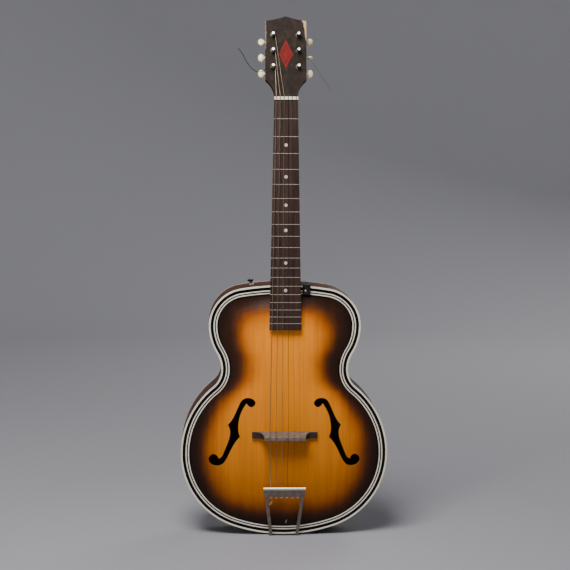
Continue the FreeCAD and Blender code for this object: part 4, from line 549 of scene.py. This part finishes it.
# the posts are tarnished too; their domed ends, facing along the post, are painted near white as a painted
# highlight
post_metal, tree, skin = new_finish("tarnished_posts_with_painted_highlight", {"Metallic": 1.0, "Roughness": 0.34})
place = add_node(tree, "TexCoord")
post_axis = head_turn.to_matrix() @ Vector((0, 0, 1))
endwise = add_node(tree, "VectorMath", {0: place["Normal"], 1: post_axis}, operation="DOT_PRODUCT")["Value"]
painted_highlight = add_node(tree, "MapRange", {0: endwise, 1: 0.5, 2: 0.85})[0]
tarnish = add_node(tree, "ValToRGB", {0: streaks(tree, place["Object"], (3, 3, 3), 5)}, stops=(
    (0.3, "#3f3932"), (0.7, "#6f675c")))[0]
toned = add_node(tree, "Mix", {0: painted_highlight, 6: tarnish, 7: linear("#ece6da")}, data_type="RGBA")[2]
tree.links.new(toned, skin["Base Color"])
brass = plated("dull_brass_gears", "#b08d4b", "#7d6231", 0.36)[0]
ivory, tree, skin = new_finish("ivory_coloured_buttons", {
    "Roughness": 0.3, "Coat Weight": 0.3, "Coat Roughness": 0.1, "Subsurface Weight": 0.15,
    "Subsurface Radius": (0.004, 0.003, 0.002), "Subsurface Scale": 1.0})
place = add_node(tree, "TexCoord")["Object"]
colour = add_node(tree, "ValToRGB", {0: streaks(tree, place, (5, 5, 5), 4)}, stops=(
    (0.3, "#e2c690"), (0.6, "#f5e3b8")))[0]
tree.links.new(colour, skin["Base Color"])
for number in STRING_NUMBERS:
    dress(bright_nickel, f"tuner_worm_{number}")
    dress(post_metal, f"tuner_post_{number}")
    dress(brass, f"tuner_gear_{number}")
    dress(ivory, f"tuner_button_{number}")

# Small fittings: a black moulded bracket that once held a finger rest, a turned strap button,
# and plated steel wood screws.
black, tree, skin = new_finish("black_moulded_plastic", {"Roughness": 0.4, "Specular IOR Level": 0.4})
place = add_node(tree, "TexCoord")["Object"]
colour = add_node(tree, "ValToRGB", {0: streaks(tree, place, (2, 2, 2), 5)}, stops=(
    (0.35, "#0e0c0b"), (0.75, "#241f1b")))[0]
tree.links.new(colour, skin["Base Color"])
dress(black, "finger_rest_bracket")
# the strap button's cap has lost its plating and gone dark
CAP_THICKNESS = 0.0045
button_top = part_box("strap_button")[1].z
button, tree, skin, place, colour = plated("plated_strap_button", "#c4bdb0", "#8f887c", 0.33)
level = add_node(tree, "SeparateXYZ", {0: place})["Z"]
on_cap = add_node(tree, "Math", {0: level, 1: button_top - CAP_THICKNESS}, operation="GREATER_THAN")[0]
toned = add_node(tree, "Mix", {0: on_cap, 6: colour, 7: linear("#37322c")}, data_type="RGBA")[2]
tree.links.new(toned, skin["Base Color"])
dress(button, "strap_button")
dress(steel, "wood_screws")

# Camera: a long lens a little above the waist and to the bass side, level but for a small lean.
CAMERA_DISTANCE = 3.0
CAMERA_RISE = math.radians(6.2)
CAMERA_SWING = math.radians(-2.32)
CAMERA_ROLL = math.radians(0.345)
CAMERA_TARGET = Vector((-0.00037, -0.043, 0.4920))
LENS = 98.4
SENSOR_WIDTH = 36
level_part = math.cos(CAMERA_RISE)
backward = Vector((
    math.sin(CAMERA_SWING) * level_part, -math.cos(CAMERA_SWING) * level_part, math.sin(CAMERA_RISE)))
camera = bpy.data.objects.new("camera", bpy.data.cameras.new("camera"))
camera.data.lens = LENS
camera.data.sensor_width = SENSOR_WIDTH
camera.location = CAMERA_TARGET + CAMERA_DISTANCE * backward
aim = (-backward).to_track_quat("-Z", "Y").to_matrix()
camera.rotation_euler = (aim @ Matrix.Rotation(CAMERA_ROLL, 3, "Z")).to_euler()
bpy.context.scene.collection.objects.link(camera)
bpy.context.scene.camera = camera

# Floor and light: a pale paper floor that curves up into a wall all round, so that it lies behind the guitar
# from every side. A broad soft light stands high in front, weaker ones at the bass side and behind.
SWEEP_RADIUS = 4.6
SWEEP_BEND = 1.8
SWEEP_HEIGHT = 6.5
SWEEP_SIDES = 96
BEND_STEPS = 24
bpy.ops.object.select_all(action="DESELECT")
bpy.ops.mesh.primitive_circle_add(
    vertices=SWEEP_SIDES, radius=SWEEP_RADIUS, fill_type="NGON", location=(0, 0, SWEEP_HEIGHT))
sweep = bpy.context.object
sweep.name = "pale_sweep"
bpy.ops.object.transform_apply(location=True)
bpy.ops.object.mode_set(mode="EDIT")
bpy.ops.mesh.select_mode(type="EDGE")
bpy.ops.mesh.select_all(action="SELECT")
bpy.ops.mesh.extrude_region_move(TRANSFORM_OT_translate={"value": (0, 0, -SWEEP_HEIGHT)})
bpy.ops.mesh.select_all(action="DESELECT")
bpy.ops.object.mode_set(mode="OBJECT")
for edge in sweep.data.edges:
    edge.select = all(sweep.data.vertices[corner].co.z < SWEEP_BEND for corner in edge.vertices)
bpy.ops.object.mode_set(mode="EDIT")
bpy.ops.mesh.bevel(offset=SWEEP_BEND, segments=BEND_STEPS)
bpy.ops.object.mode_set(mode="OBJECT")
bpy.ops.object.shade_smooth()
# the paper is paler towards the wall, where less light reaches it
PAPER_MIDDLE = 0.6
paper, tree, skin = new_finish("pale_paper", {"Roughness": 0.9, "Specular IOR Level": 0.1})
place = add_node(tree, "TexCoord")["Object"]
flat = add_node(tree, "VectorMath", {0: place, 1: (1, 1, 0)}, operation="MULTIPLY")[0]
outward = add_node(tree, "VectorMath", {0: flat}, operation="LENGTH")["Value"]
share = add_node(tree, "MapRange", {0: outward, 1: PAPER_MIDDLE, 2: SWEEP_RADIUS})[0]
colour = add_node(tree, "ValToRGB", {0: share}, stops=((0.0, "#9b9a9f"), (1.0, "#d2d2d6")))[0]
tree.links.new(colour, skin["Base Color"])
sweep.data.materials.append(paper)
# soft lights, as (name, place, what it points at, width, watts)
LIGHTS = (
    ("key_softbox", (-0.4, -0.95, 1.95), (0, 0, 0.4), 0.9, 52),
    ("fill_softbox", (-2.6, -2.0, 1.4), (0, 0, 0.6), 1.8, 14),
    ("back_softbox", (1.6, 2.4, 2.2), (0, 0, 0.5), 1.6, 34),
)
for name, spot, aim_at, width, power in LIGHTS:
    lamp = bpy.data.objects.new(name, bpy.data.lights.new(name, "AREA"))
    lamp.data.size = width
    lamp.data.energy = power
    lamp.location = spot
    lamp.rotation_euler = (Vector(aim_at) - Vector(spot)).to_track_quat("-Z", "Y").to_euler()
    bpy.context.scene.collection.objects.link(lamp)
AMBIENT = 0.35
world = bpy.data.worlds.new("studio")
world.use_nodes = True
sky = world.node_tree.nodes["Background"].inputs
sky["Color"].default_value = linear("#b8b8bc")
sky["Strength"].default_value = AMBIENT
bpy.context.scene.world = world
